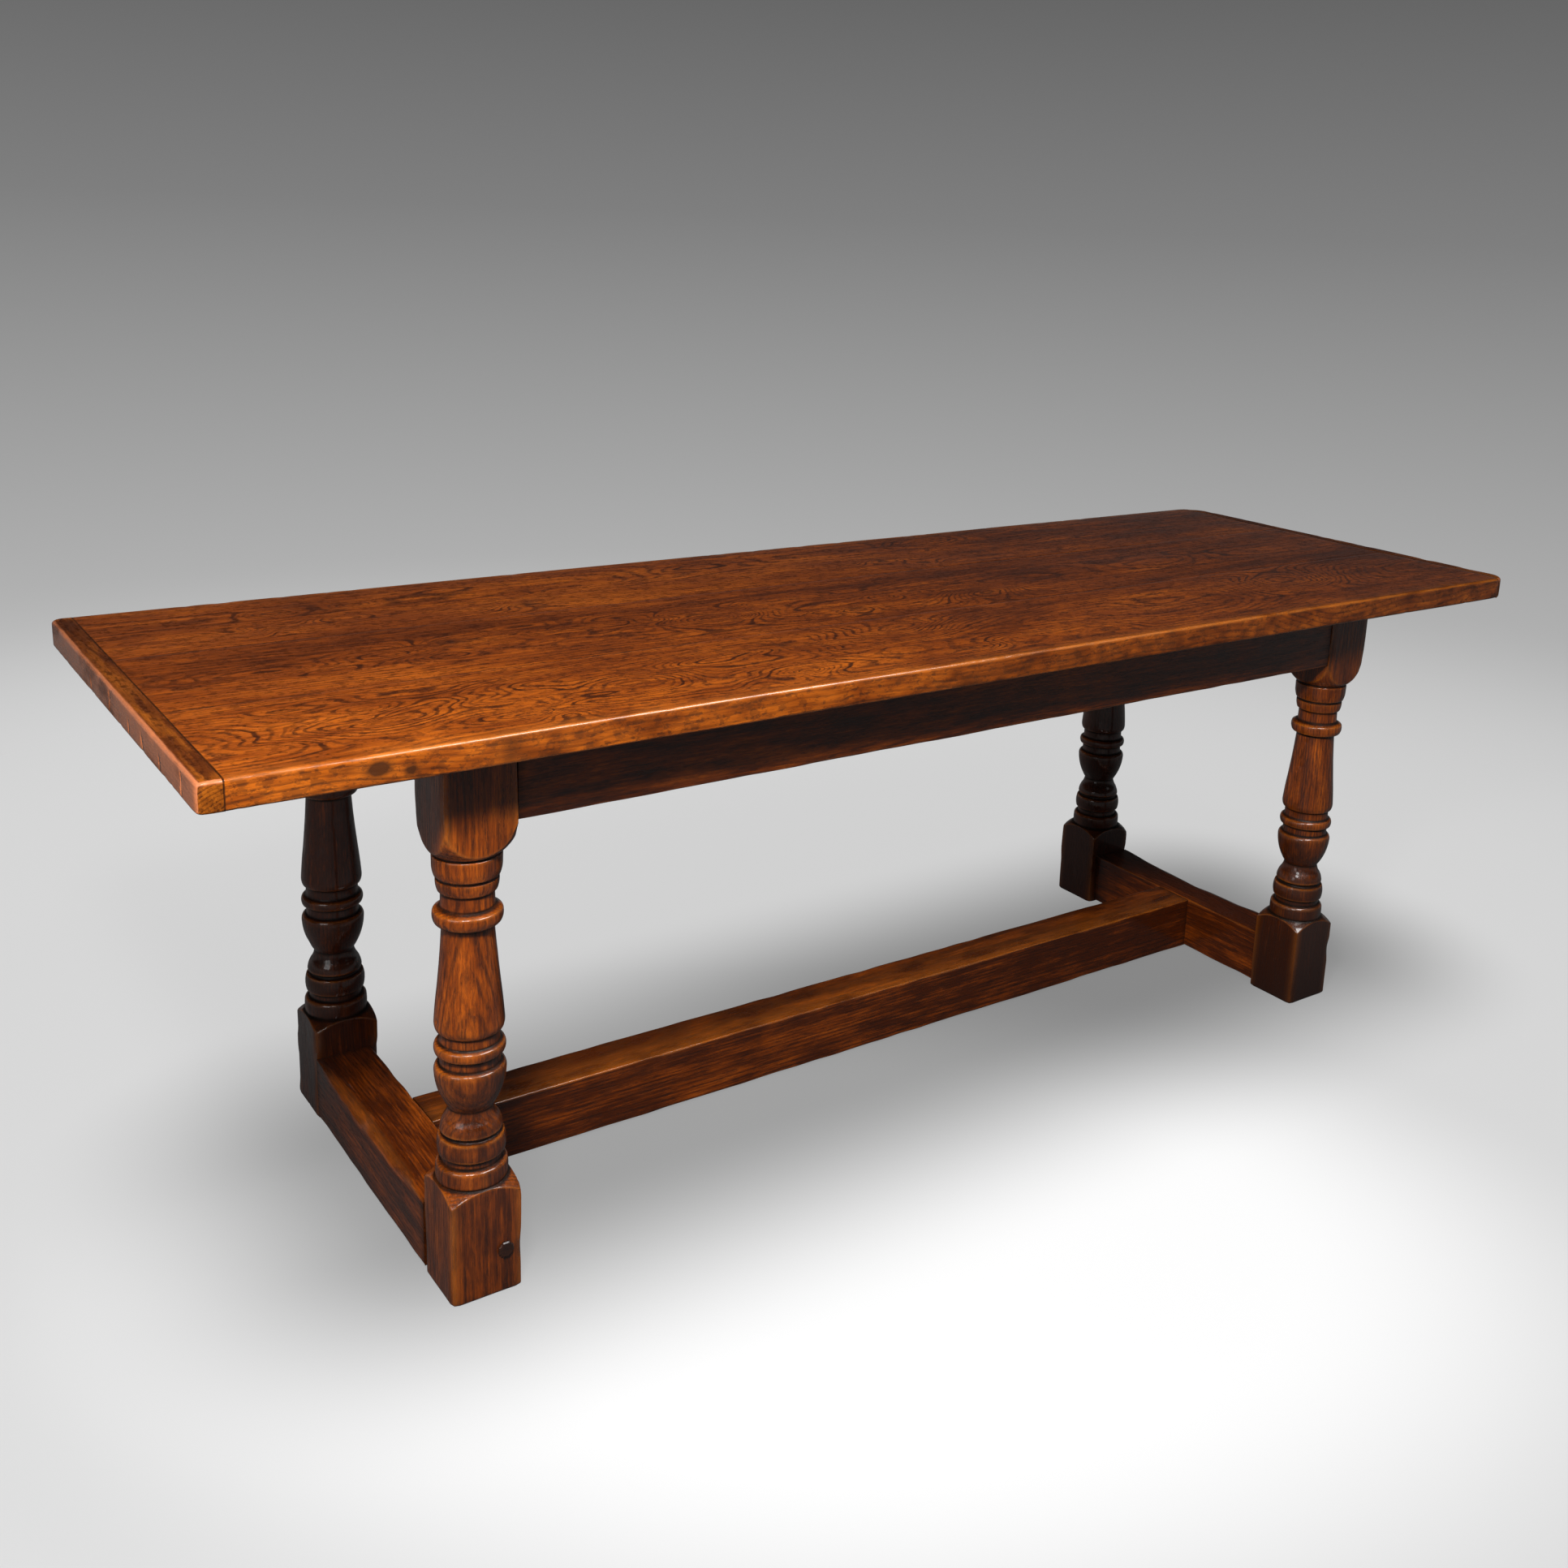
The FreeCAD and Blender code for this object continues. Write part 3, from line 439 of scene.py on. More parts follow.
for timber in board.values():  # adds the scattered loops to the listed ones
    number, spanX, spanY = timber["scattered"]
    dice = np.random.default_rng(timber["seed"])
    for each in range(number):
        count = dice.uniform(*smallLoop["count"]) * dice.choice((-1, 1))
        place = dice.uniform(*spanX), dice.uniform(*spanY)
        size = dice.uniform(*smallLoop["length"]), dice.uniform(*smallLoop["width"])
        timber["loops"] += ((*place, *size, count),)
cleat = {
    "left": {"heart": (-1.09, 0.70), "seed": 41, "splits": (0.115, 0.012, -0.086, -0.150, -0.229, -0.321)},
    "right": {"heart": (1.14, 0.68), "seed": 43, "splits": (0.27, 0.16, 0.04, -0.13, -0.24)},
}
cleatOak = {"sway": 0.01, "swayLength": 0.4, "ringSpacing": 0.0045, "waves": ((0.002, (0.15, 0.03, 0.05)),)}
# on a cleat the outer half of the top is golden and the inner half dark
cleatLook = {
    "goldFrom": 0.013, "goldStep": 0.004, "shades": (-1.8, 0.3), "endReach": 0.03, "endShade": 1.6,
    "faceWearAndSheen": 1.1, "arrisWear": 3, "mostWear": 2.5,
}
split = {
    "width": 0.0018, "depth": 0.0035, "low": 0.006, "high": 0.022, "unevenness": 0.006, "waves": 90,
}

slabLow = Vector((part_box("cleat_left")[0].x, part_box("top_board_front")[0].y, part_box("cleat_left")[0].z))
slabHigh = Vector((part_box("cleat_right")[1].x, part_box("top_board_back")[1].y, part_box("cleat_left")[1].z))
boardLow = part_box("cleat_left")[1].x
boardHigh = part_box("cleat_right")[0].x
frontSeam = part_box("top_board_front")[1].y
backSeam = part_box("top_board_back")[0].y
halfLength = slabHigh.x
halfWidth = slabHigh.y
topFinish = oakFinish("topOak", top["finish"])
cleatFinish = oakFinish("cleatOak", {**top["finish"], **top["cleatFinish"]})


# Distance of points from the top's rounded outline, and the way inward
def outlineInset(points):
    ends = halfLength - np.abs(points[:, 0])
    sides = halfWidth - np.abs(points[:, 1])
    inset = np.minimum(ends, sides)
    inward = np.zeros((len(points), 2))
    nearEnd = ends < sides
    inward[nearEnd, 0] = -np.sign(points[nearEnd, 0])
    inward[~nearEnd, 1] = -np.sign(points[~nearEnd, 1])
    for (signX, signY), radius in top["cornerRadii"].items():
        offsetX = points[:, 0] * signX - halfLength + radius
        offsetY = points[:, 1] * signY - halfWidth + radius
        offset = np.stack((offsetX, offsetY), 1)
        inCorner = (offset > 0).all(1)
        length = np.hypot(*offset[inCorner].T)
        inset[inCorner] = radius - length
        inward[inCorner] = -offset[inCorner] / length[:, None] * (signX, signY)
    return inset, inward


def roundCorners(points):  # bends the square corners of the plan into arcs
    for (signX, signY), radius in top["cornerRadii"].items():
        centre = np.array((halfLength - radius, halfWidth - radius))
        offset = points[:, :2] * (signX, signY) - centre
        inCorner = (offset > 0).all(1)
        corner = offset[inCorner]
        corner *= (corner.max(1) / np.hypot(*corner.T))[:, None]
        points[inCorner, :2] = (centre + corner) * (signX, signY)


def topPiece(name, node, low, high, seams, grainAxes, timber, seed):
    edge = top["upperArris"] * (1 + top["arrisUnevenness"])
    spans = []
    for axis, letter in enumerate(axisNames[:2]):
        lowEdge = top["seamWidth"] if "-" + letter in seams else edge
        highEdge = top["seamWidth"] if "+" + letter in seams else edge
        spans.append(gridLines(low[axis], high[axis], top["cell"], lowEdge, highEdge))
    for place in timber.get("splits", ()):
        notch = place + np.array((-1.0, 0.0, 1.0)) * split["width"]
        clear = np.abs(spans[1] - place) > split["width"] * 2
        spans[1] = np.sort(np.concatenate((spans[1][clear], notch)))
    spans.append(gridLines(low[2], high[2], top["cell"], top["lowerArris"], edge))
    points, faces = gridBox(spans)
    flat = points.copy()
    grain = flat[:, grainAxes]

    # distances from the upper and lower faces, the outline and the seams
    roundCorners(points)
    inset, inward = outlineInset(points)
    fromTop = slabHigh.z - points[:, 2]
    fromBottom = points[:, 2] - slabLow.z
    toSeam = np.full(len(points), 1.0)
    for face in seams:
        axis = axisNames.index(face[1])
        limit = low[axis] if face[0] == "-" else high[axis]
        toSeam = np.minimum(toSeam, np.abs(flat[:, axis] - limit))
    depth = np.minimum(np.minimum(fromTop, fromBottom), inset)
    onEdge = inset < touching

    # worn arrises
    uneven = 1 + top["arrisUnevenness"] * softNoise(flat, top["arrisLength"], seed)
    newInset, newTop, upperWear = softenEdge(inset, fromTop, top["upperArris"] * uneven, roundEdge)
    newInset, newBottom, lowerWear = softenEdge(newInset, fromBottom, top["lowerArris"] * uneven, roundEdge)
    points[:, :2] += inward * (newInset - inset)[:, None]
    points[:, 2] = np.where(lowerWear > 0, slabLow.z + newBottom, slabHigh.z - newTop)

    # grooves along the seams, a wavy outline, and a surface that is no longer flat
    core = np.zeros_like(points)
    core[:, :2] = inward * fading(newInset, edge)[:, None]
    core[:, 2] = fading(newBottom, edge) - fading(newTop, edge)
    core = unitVectors(core)
    groove = fading(toSeam, top["seamWidth"]) * fading(depth, top["seamReach"])
    points += core * (groove * top["seamDepth"])[:, None]
    wave = softNoise(flat, top["edgeWaveLength"], seed + 5) * top["edgeWave"]
    points[:, :2] += inward * (wave * fading(inset, top["edgeWaveReach"]))[:, None]
    hollow = softNoise(flat, top["hollowLength"], seed + 6) * top["hollow"]
    points[:, 2] += hollow * fading(fromTop, top["hollowReach"])

    # knocks along the arrises, and splits in the end faces of the cleats
    dice = np.random.default_rng(seed)
    rim = np.flatnonzero((upperWear + lowerWear) > top["dentsNear"])
    for count in range(top["dents"] if len(rim) else 0):
        centre = points[dice.choice(rim)]
        dent(points, core, centre, dice.uniform(*top["dentWidth"]), dice.uniform(*top["dentDepth"]))
    crack = np.zeros(len(points))
    for place in timber.get("splits", ()):
        splitTop = split["high"] + split["unevenness"] * math.sin(place * split["waves"])
        inSplit = (np.abs(flat[:, 1] - place) < touching) & onEdge
        crack[inSplit & (fromBottom > split["low"]) & (fromBottom < splitTop)] = 1
    points[:, :2] += inward * (crack * split["depth"])[:, None]

    # light, dark and worn places, with painted shade towards the right end and painted light on the edge faces
    reach = top["figureReach"]
    ovals = [(x, y, length * reach, width * reach, min(1, abs(count) / top["fullFigure"]))
             for x, y, length, width, count in timber.get("loops", ())]
    figure = spotField(flat, ovals)
    stain = spotField(flat, timber.get("stains", ()))
    stain = np.maximum(stain, spotField(flat[:, (0, 2)], timber.get("edgeSpots", ())) * onEdge)
    gold = spotField(flat, timber.get("gold", ()))
    shade = timber.get("shade", 0) + gold * top["goldShade"] + figure * top["figureShade"]
    # painted shade: the top grows darker towards its right end
    shade = shade - top["paintedShadeRight"] * np.clip(top["paintedShadeFrom"] + flat[:, 0] / halfLength, 0, 1)
    mottle = top["edgeMottle"] * softNoise(flat, top["edgeMottleLength"], seed + 7)
    # painted light: the edge faces are made lighter, and their little worn colour below is partly painted
    # light too
    shade = shade + onEdge * (mottle + top["edgePaintedLight"])
    wear = np.clip(np.maximum(upperWear, lowerWear * top["lowerArrisWear"]) * top["arrisWear"], 0, 1)
    nearRim = np.exp(-inset / top["rimReach"]) * (fromTop < top["rimDepth"])
    wear = np.maximum.reduce((wear, top["rimWear"] * nearRim, top["edgeWearAndLight"] * onEdge))
    isCleat = "cleat" in node
    if isCleat:
        shade = np.clip((toSeam - cleatLook["goldFrom"]) / cleatLook["goldStep"], *cleatLook["shades"])
        atEnd = fading(halfWidth - np.abs(flat[:, 1]), cleatLook["endReach"])
        shade = np.maximum(shade, atEnd * cleatLook["endShade"])
        # the end faces get the worn colour all over: partly wear, partly painted light and sheen
        onFace = onEdge & (halfLength - np.abs(flat[:, 0]) < touching)
        arrisWear = np.clip(upperWear * cleatLook["arrisWear"], 0, cleatLook["mostWear"])
        wear = np.where(onFace, cleatLook["faceWearAndSheen"], arrisWear)
    grime = np.maximum(np.clip(groove * top["seamGrime"] * (depth < touching), 0, 1), crack)
    fields = {"grain": grain, "rings": growthRings(grain, timber), "figure": figure, "shade": shade,
              "wear": wear, "grime": grime, "stain": stain}
    finish = cleatFinish if isCleat else topFinish
    return makePiece(name, points, faces, fields, finish, "cleat_oak" if isCleat else "top_oak", node)


boardSpans = {
    "front": (slabLow.y, frontSeam, ("-x", "+x", "+y")),
    "middle": (frontSeam, backSeam, ("-x", "+x", "-y", "+y")),
    "back": (backSeam, slabHigh.y, ("-x", "+x", "-y")),
}
for side, (lowY, highY, seams) in boardSpans.items():
    corners = (boardLow, lowY, slabLow.z), (boardHigh, highY, slabHigh.z)
    timber = {**boardOak, **board[side]}
    topPiece("board_" + side, "top_board_" + side, *corners, seams, (0, 1, 2), timber, timber["seed"])
for side, lowX, highX, seam in (("left", slabLow.x, boardLow, "+x"), ("right", boardHigh, slabHigh.x, "-x")):
    corners = (lowX, slabLow.y, slabLow.z), (highX, slabHigh.y, slabHigh.z)
    timber = {**cleatOak, **cleat[side]}
    topPiece("end_cleat_" + side, "cleat_" + side, *corners, (seam,), (1, 0, 2), timber, timber["seed"])
print("top boards and cleats made")


# Frame finish, for the legs, rails and stretchers: a little darker and glossier than the top
frameOak = {
    "light": (0.66, 0.140, 0.007), "middle": (0.36, 0.066, 0.003), "dark": (0.11, 0.019, 0.002),
    "ring": (0.05, 0.010, 0.002), "pore": (0.03, 0.007, 0.002), "stain": (0.03, 0.008, 0.003),
    "worn": (0.72, 0.20, 0.02), "grime": (0.012, 0.005, 0.002),
    "ringDepth": 0.8, "plainLines": 0.75, "scribble": 1.5, "poreDepth": 0.6, "wornDepth": 0.6,
    "streaks": 0.6, "clouds": 0.75, "patches": 0.7, "hairs": 0.8,
    "streakScale": (4, 80, 80), "hairScale": (15, 330, 330), "fleckScale": (45, 330, 330),
    "roughness": 0.32, "relief": 0.4, "specular": 0.45, "wax": 1.0, "waxRoughness": 0.09, "polish": 0.3,
}
frameFinish = oakFinish("frameOak", frameOak)

# Legs: a square post turned between its foot and head blocks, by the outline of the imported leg
leg = {
    "columns": 14, "rowStep": 0.0016, "footRows": 30, "shoulderRows": 12, "headRows": 22,
    "footCrowding": 0.8, "headCrowding": 1.5, "outlineSteps": 2400,
    "turnedFrom": 0.17, "turnedTo": 0.875,  # shares of the height
    "slim": 0.96,  # the turning between the blocks is slimmer than this share of them
    "edgeRadius": 0.004, "edgeWearAndLight": 0.0045, "edgeWearLength": 0.03, "edgeWearLeast": 0.4, "footEdge": 0.004,
    "shoulderSoftness": 0.0022, "outOfRound": 0.0002, "outOfRoundLength": 0.035,
    "dents": 60, "dentDepth": (0.0003, 0.0011), "dentWidth": (0.002, 0.007),
    # polished rims, corners and shoulders, and dirt in the grooves
    "rimReach": 0.004, "rimHeight": 0.0016, "rimWear": 0.9, "grooveGrime": 2.2,
    "cornerReach": 0.09, "cornerWear": 0.8, "shoulderReach": 0.003, "shoulderWear": 0.7,
    # the lower leg is darker, most of all its lowest rings
    "brightFrom": 0.45, "darkAt": 0.25, "darkReach": 0.09, "darkRings": 0.45, "stainAndShadeCoverWear": 0.7,
    "sway": 0.006, "swayLength": 0.3, "ringSpacing": 0.0045,
    "waves": ((0.003, (0.2, 0.05, 0.05)), (0.001, (0.06, 0.02, 0.02))),
}
# heart of the tree beside the leg's axis, shade of the leg, and shade and stain of its foot; the darker back
# legs and front right foot are partly painted shade
legTimbers = {
    "leg_front_left": {"heart": (0.03, 0.075), "shade": 0.0, "foot": -0.1, "stain": 0.0, "seed": 51},
    "leg_front_right": {"heart": (-0.06, 0.05), "shade": -0.3, "foot": -2.3, "stain": 0.9, "seed": 52},
    "leg_back_left": {"heart": (0.07, -0.04), "shade": -2.2, "foot": 0.6, "stain": 0.0, "seed": 53},
    "leg_back_right": {"heart": (-0.03, -0.08), "shade": -2.0, "foot": -0.8, "stain": 0.5, "seed": 54},
}


def turnedOutline(node, axis):
    points = np.array([vertex.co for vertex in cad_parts[node].data.vertices])
    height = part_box(node)[1].z
    turned = (points[:, 2] > leg["turnedFrom"] * height) & (points[:, 2] < leg["turnedTo"] * height)
    points = points[turned]
    radius = np.hypot(points[:, 0] - axis.x, points[:, 1] - axis.y)
    heights, places = np.unique(np.round(points[:, 2], 5), return_index=True)
    return heights, radius[places]


def fromMiddle(angle):  # the turn away from the middle of the nearest side of a square
    return np.abs((angle + math.pi / 4) % (math.pi / 2) - math.pi / 4)


def squareRadius(angle, half, edge):  # how far a rounded square reaches in each direction
    folded = fromMiddle(angle)
    onFlat = half / np.cos(folded)
    centre = half - edge
    toward = centre * (np.cos(folded) + np.sin(folded))
    onArc = toward + np.sqrt(np.maximum(toward * toward - 2 * centre * centre + edge * edge, 0))
    return np.where(half * np.tan(folded) < centre, onFlat, onArc)


def softMinimum(first, second, softness):
    near = fading(np.abs(first - second), softness)
    return np.minimum(first, second) - near * near * softness / 4


def legPiece(node, timber):
    low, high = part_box(node)
    axis = (low + high) / 2
    half = (high.x - low.x) / 2
    seed = timber["seed"]
    heights, radii = turnedOutline(node, axis)
    quarter = 1 - (1 - np.linspace(0, 1, leg["columns"] + 1)) ** 2
    eighth = np.concatenate((quarter - 1, 1 - quarter[::-1][1:-1]))
    angles = np.concatenate([(eighth + 2 * turn) * math.pi / 4 for turn in range(4)])
    corner = squareRadius(angles, half, leg["edgeRadius"])

    # where each column meets the two shoulders
    slim = heights[radii < half * leg["slim"]]
    isFoot = heights <= slim.min()
    isHead = heights >= slim.max()
    footTop = np.interp(corner, radii[isFoot][::-1], heights[isFoot][::-1])
    headLow = np.interp(corner, radii[isHead], heights[isHead])
    base = heights[isFoot].max()
    neck = heights[isHead].min()

    # rows from the floor to the top
    crowded = np.linspace(0, 1, leg["footRows"])
    crowded = crowded - np.sin(crowded * 2 * math.pi) / (2 * math.pi) * leg["footCrowding"]
    turning = (heights >= base) & (heights <= neck)
    run = np.concatenate(((0,), np.cumsum(np.hypot(np.diff(heights[turning]), np.diff(radii[turning])))))
    even = np.linspace(0, run[-1], math.ceil(run[-1] / leg["rowStep"]))
    shoulder = np.linspace(0, 1, leg["shoulderRows"])[1:, None]
    head = np.linspace(0, 1, leg["headRows"])[1:, None] ** leg["headCrowding"]
    rows = np.concatenate((
        crowded[:, None] * footTop,
        footTop + shoulder * (base - footTop),
        np.repeat(np.interp(even, run, heights[turning])[1:, None], len(angles), 1),
        neck + shoulder * (headLow - neck),
        headLow + head * (high.z - headLow),
    ))
    angle = np.repeat(angles[None], len(rows), 0)
    turnedRadius = np.interp(rows, heights, radii, left=1, right=1)

    # worn corners, soft shoulders and the foot's lower edge
    side = np.round(angle / (math.pi / 2)) + seed
    spot = np.stack((side, rows / leg["edgeWearLength"], np.zeros_like(rows)), -1).reshape(-1, 3)
    least = leg["edgeWearLeast"]
    cornerWear = np.clip(softNoise(spot, 1, seed), -least, 1).reshape(rows.shape)
    square = squareRadius(angle, half, leg["edgeRadius"] + leg["edgeWearAndLight"] * (cornerWear + least))
    radius = softMinimum(turnedRadius, square, leg["shoulderSoftness"])
    lift = np.clip(leg["footEdge"] - rows, 0, None)
    radius -= leg["footEdge"] - np.sqrt(leg["footEdge"] ** 2 - lift * lift)
    outward = np.stack((np.cos(angle), np.sin(angle), np.zeros_like(angle)), -1).reshape(-1, 3)
    x = axis.x + radius * np.cos(angle)
    y = axis.y + radius * np.sin(angle)
    points = np.stack((x, y, rows), -1).reshape(-1, 3)

    # rims stand out from the outline's mean, grooves lie inside it
    line = np.linspace(heights[0], heights[-1], leg["outlineSteps"])
    outline = np.interp(line, heights, radii)
    reach = int(leg["rimReach"] / (line[1] - line[0]))
    mean = np.convolve(np.pad(outline, reach, "edge"), np.ones(2 * reach + 1) / (2 * reach + 1), "valid")
    proud = np.interp(rows, line, (outline - mean) / leg["rimHeight"], left=0, right=0)
    isBlock = square < turnedRadius
    proud = np.where(isBlock, 0, proud)
    onCorner = np.exp(-((math.pi / 4 - fromMiddle(angle)) / leg["cornerReach"]) ** 2) * isBlock
    onShoulder = fading(np.abs(turnedRadius - square), leg["shoulderReach"])
    polished = (proud * leg["rimWear"], onCorner * leg["cornerWear"], onShoulder * leg["shoulderWear"])
    wear = np.clip(np.maximum.reduce(polished), 0, 1).ravel()
    grime = np.clip(-proud * leg["grooveGrime"], 0, 1).ravel()

    # not quite round, and knocked about
    points += outward * (softNoise(points, leg["outOfRoundLength"], seed) * leg["outOfRound"])[:, None]
    dice = np.random.default_rng(seed)
    for count in range(leg["dents"]):
        centre = points[dice.integers(len(points))]
        dent(points, -outward, centre, dice.uniform(*leg["dentWidth"]), dice.uniform(*leg["dentDepth"]))

    columns = len(angles)
    numbers = np.arange(len(points)).reshape(rows.shape)
    ahead = np.roll(numbers, -1, 1)
    faces = np.stack((numbers[:-1], ahead[:-1], ahead[1:], numbers[1:]), -1).reshape(-1, 4).tolist()
    faces.append(list(range(columns))[::-1])
    faces.append(list(range(len(points) - columns, len(points))))
    grain = np.stack((points[:, 2], points[:, 0] - axis.x, points[:, 1] - axis.y), 1)
    # painted shade: the shade and stain fields darken the back legs and the front right foot, and take the
    # worn colour away there
    lower = fading(points[:, 2], leg["brightFrom"])
    wear *= 1 - leg["stainAndShadeCoverWear"] * timber["stain"] * lower
    darkRings = leg["darkRings"] * np.exp(-((points[:, 2] - leg["darkAt"]) / leg["darkReach"]) ** 2)
    fields = {"grain": grain + (seed, 0, 0), "rings": growthRings(grain, {**leg, **timber}),
              "wear": wear, "grime": grime, "shade": timber["shade"] + timber["foot"] * lower,
              "stain": np.maximum(timber["stain"] * lower, darkRings)}
    return makePiece(node.replace("leg", "turned_leg"), points, faces, fields, frameFinish, "leg_oak", node)


for node, timber in legTimbers.items():
    legPiece(node, timber)
print("legs made")

# Rails and stretchers: bars with worn edges. An edge is named by the two faces that meet in it, and has a
# radius, a fullness and an unevenness
bar = {
    "cell": 0.011, "edgeRoom": 1.6, "plainEdge": 0.001, "edgeLength": 0.035,
    "roughness": 0.00025, "roughLength": 0.05,
    "wear": {"stretcher_right": 0.5, "stretcher_left": 0.9}, "plainWear": 1.2,
    "shade": {"stretcher_long": -1.1, "stretcher_left": -0.7, "stretcher_right": -1.2}, "plainShade": -0.3,
    # the long stretcher's upper wear is partly wear and partly painted sheen
    "upperWear": {"stretcher_long": 0.6}, "upperReach": 0.035,  # on the upper face, from its front edge
    "bevelWear": 0.45, "leastBevel": 0.12, "endGrime": 0.75, "endReach": 0.006,
}


def barPiece(name, node, low, high, grainAxes, edges, timber, slot, wornAt=None):
    spans = []
    for axis, letter in enumerate(axisNames):
        sizes = []
        for sign in "-+":
            near = [radius for names, (radius, fullness, uneven) in edges.items() if sign + letter in names]
            sizes.append(max(near, default=bar["plainEdge"]) * bar["edgeRoom"])
        spans.append(gridLines(low[axis], high[axis], bar["cell"], *sizes))
    points, faces = gridBox(spans)
    flat = points.copy()
    run = grainAxes[0]
    seed = timber["seed"]
    wear = np.zeros(len(points))
    for names, (radius, fullness, uneven) in edges.items():
        sides = [(names[place], axisNames.index(names[place + 1])) for place in (0, 2)]
        distances = [flat[:, axis] - low[axis] if sign == "-" else high[axis] - flat[:, axis]
                     for sign, axis in sides]
        size = np.full(len(points), radius)
        if names == wornAt:
            share = (flat[:, run] - low[run]) / (high[run] - low[run]) * 2 - 1
            size = radius * np.clip(1 - share * share, bar["leastBevel"], 1)
        edgeSeed = seed + len(names) + ord(names[0])
        size = size * (1 + uneven * softNoise(alongOnly(flat, run), bar["edgeLength"], edgeSeed))
        *moved, near = softenEdge(*distances, size, fullness)
        for (sign, axis), new, old in zip(sides, moved, distances):
            points[:, axis] += (new - old) * (1 if sign == "-" else -1)
        wear = np.maximum(wear, near * (bar["bevelWear"] if names == wornAt else 1))
    # wear and painted sheen on the long stretcher's upper face, near its front edge
    fromFront = np.exp((low[1] - flat[:, 1]) / bar["upperReach"])
    onUpper = high[2] - flat[:, 2] < touching
    wear = np.maximum(wear, bar["upperWear"].get(node, 0) * fromFront * onUpper)
    outward = flat - (np.asarray(low) + np.asarray(high)) / 2
    outward[:, run] = 0
    rough = softNoise(flat, bar["roughLength"], seed) * bar["roughness"]
    points += unitVectors(outward) * rough[:, None]
    grain = points[:, grainAxes]
    toEnd = np.minimum(flat[:, run] - low[run], high[run] - flat[:, run])
    fields = {
        "grain": grain + (seed, 0, 0), "rings": growthRings(grain, timber),
        "grime": bar["endGrime"] * np.exp(-toEnd / bar["endReach"]),
        "wear": np.clip(wear * bar["wear"].get(node, bar["plainWear"]), 0, 1),
        "shade": np.full(len(points), bar["shade"].get(node, bar["plainShade"])),
    }
    return makePiece(name, points, faces, fields, frameFinish, slot, node)


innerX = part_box("leg_front_right")[0].x  # clear spans between the legs
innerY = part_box("leg_back_left")[0].y
rail = {
    "edges": {"-{0}-z": (0.0028, roundEdge, 0.5), "+{0}-z": (0.002, roundEdge, 0.3)},
    "timber": {"sway": 0.015, "swayLength": 0.5, "ringSpacing": 0.005,
               "waves": ((0.004, (0.3, 0.05, 0.05)), (0.0012, (0.08, 0.02, 0.02)))},
    # the axis of a rail's thickness, the heart of its tree and its seed
    "each": {
        "rail_front": ("y", (-0.2, 0.69), 61), "rail_back": ("y", (0.24, 0.6), 62),
        "rail_left": ("x", (-0.76, 0.62), 63), "rail_right": ("x", (0.9, 0.7), 64),
    },
}
for node, (thin, heart, seed) in rail["each"].items():
    low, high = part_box(node)
    if thin == "y":
        low.x, high.x = -innerX, innerX
    else:
        low.y, high.y = -innerY, innerY
    timber = {**rail["timber"], "heart": heart, "seed": seed}
    grainAxes = (0, 1, 2) if thin == "y" else (1, 0, 2)
    edges = {names.format(thin): shape for names, shape in rail["edges"].items()}
    barPiece("top_" + node, node, low, high, grainAxes, edges, timber, "rail_oak")

stretcher = {
    "wornBevel": (0.0185, 1.1, 0.16), "crisp": (0.003, roundEdge, 0.5),
    "left": {"heart": (-0.74, 0.13), "seed": 71}, "right": {"heart": (0.86, 0.02), "seed": 72},
    "ends": {"sway": 0.012, "swayLength": 0.4, "ringSpacing": 0.005, "waves": ((0.003, (0.2, 0.05, 0.05)),)},
    "long": {"heart": (0.02, -0.03), "seed": 73, "sway": 0.02, "swayLength": 0.6, "ringSpacing": 0.005,
             "waves": ((0.004, (0.3, 0.05, 0.05)),)},
}
endBars = {"left": ("-x+z", "+x+z", "-x-z", "+x-z"), "right": ("+x+z", "-x+z", "+x-z", "-x-z")}
for side, (wornEdge, *crispEdges) in endBars.items():
    node = "stretcher_" + side
    low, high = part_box(node)
    low.y, high.y = -innerY, innerY
    edges = {wornEdge: stretcher["wornBevel"], **{names: stretcher["crisp"] for names in crispEdges}}
    timber = {**stretcher["ends"], **stretcher[side]}
    barPiece("low_" + node, node, low, high, (1, 0, 2), edges, timber, "stretcher_oak", wornEdge)
low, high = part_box("stretcher_long")
low.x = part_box("stretcher_left")[1].x
high.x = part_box("stretcher_right")[0].x
edges = {names: stretcher["crisp"] for names in ("-y+z", "+y+z", "-y-z", "+y-z")}
timber = stretcher["long"]
barPiece("low_stretcher_long", "stretcher_long", low, high, (0, 1, 2), edges, timber, "stretcher_oak")
print("rails and stretchers made")

# Peg, buttons and screws keep the shapes of the frame and get fine bevels and finishes
smallParts = {
    "pegOak": {"dark": (0.012, 0.004, 0.002), "middle": (0.03, 0.008, 0.003), "light": (0.08, 0.02, 0.005)},
    "bevels": {"foot_peg": 0.0011, "button_screws": 0.0003}, "buttonBevel": 0.0012, "bevelSteps": 2,
    "steel": (0.30, 0.28, 0.26), "steelDull": (0.10, 0.09, 0.085), "steelRoughness": (0.28, 0.6),
    "tarnish": ((180, 180, 180), 4), "tarnishStep": (0.35, 0.65),
    "scratch": ((900, 90, 900), 2), "scratchRelief": (0.2, 0.0002),
}


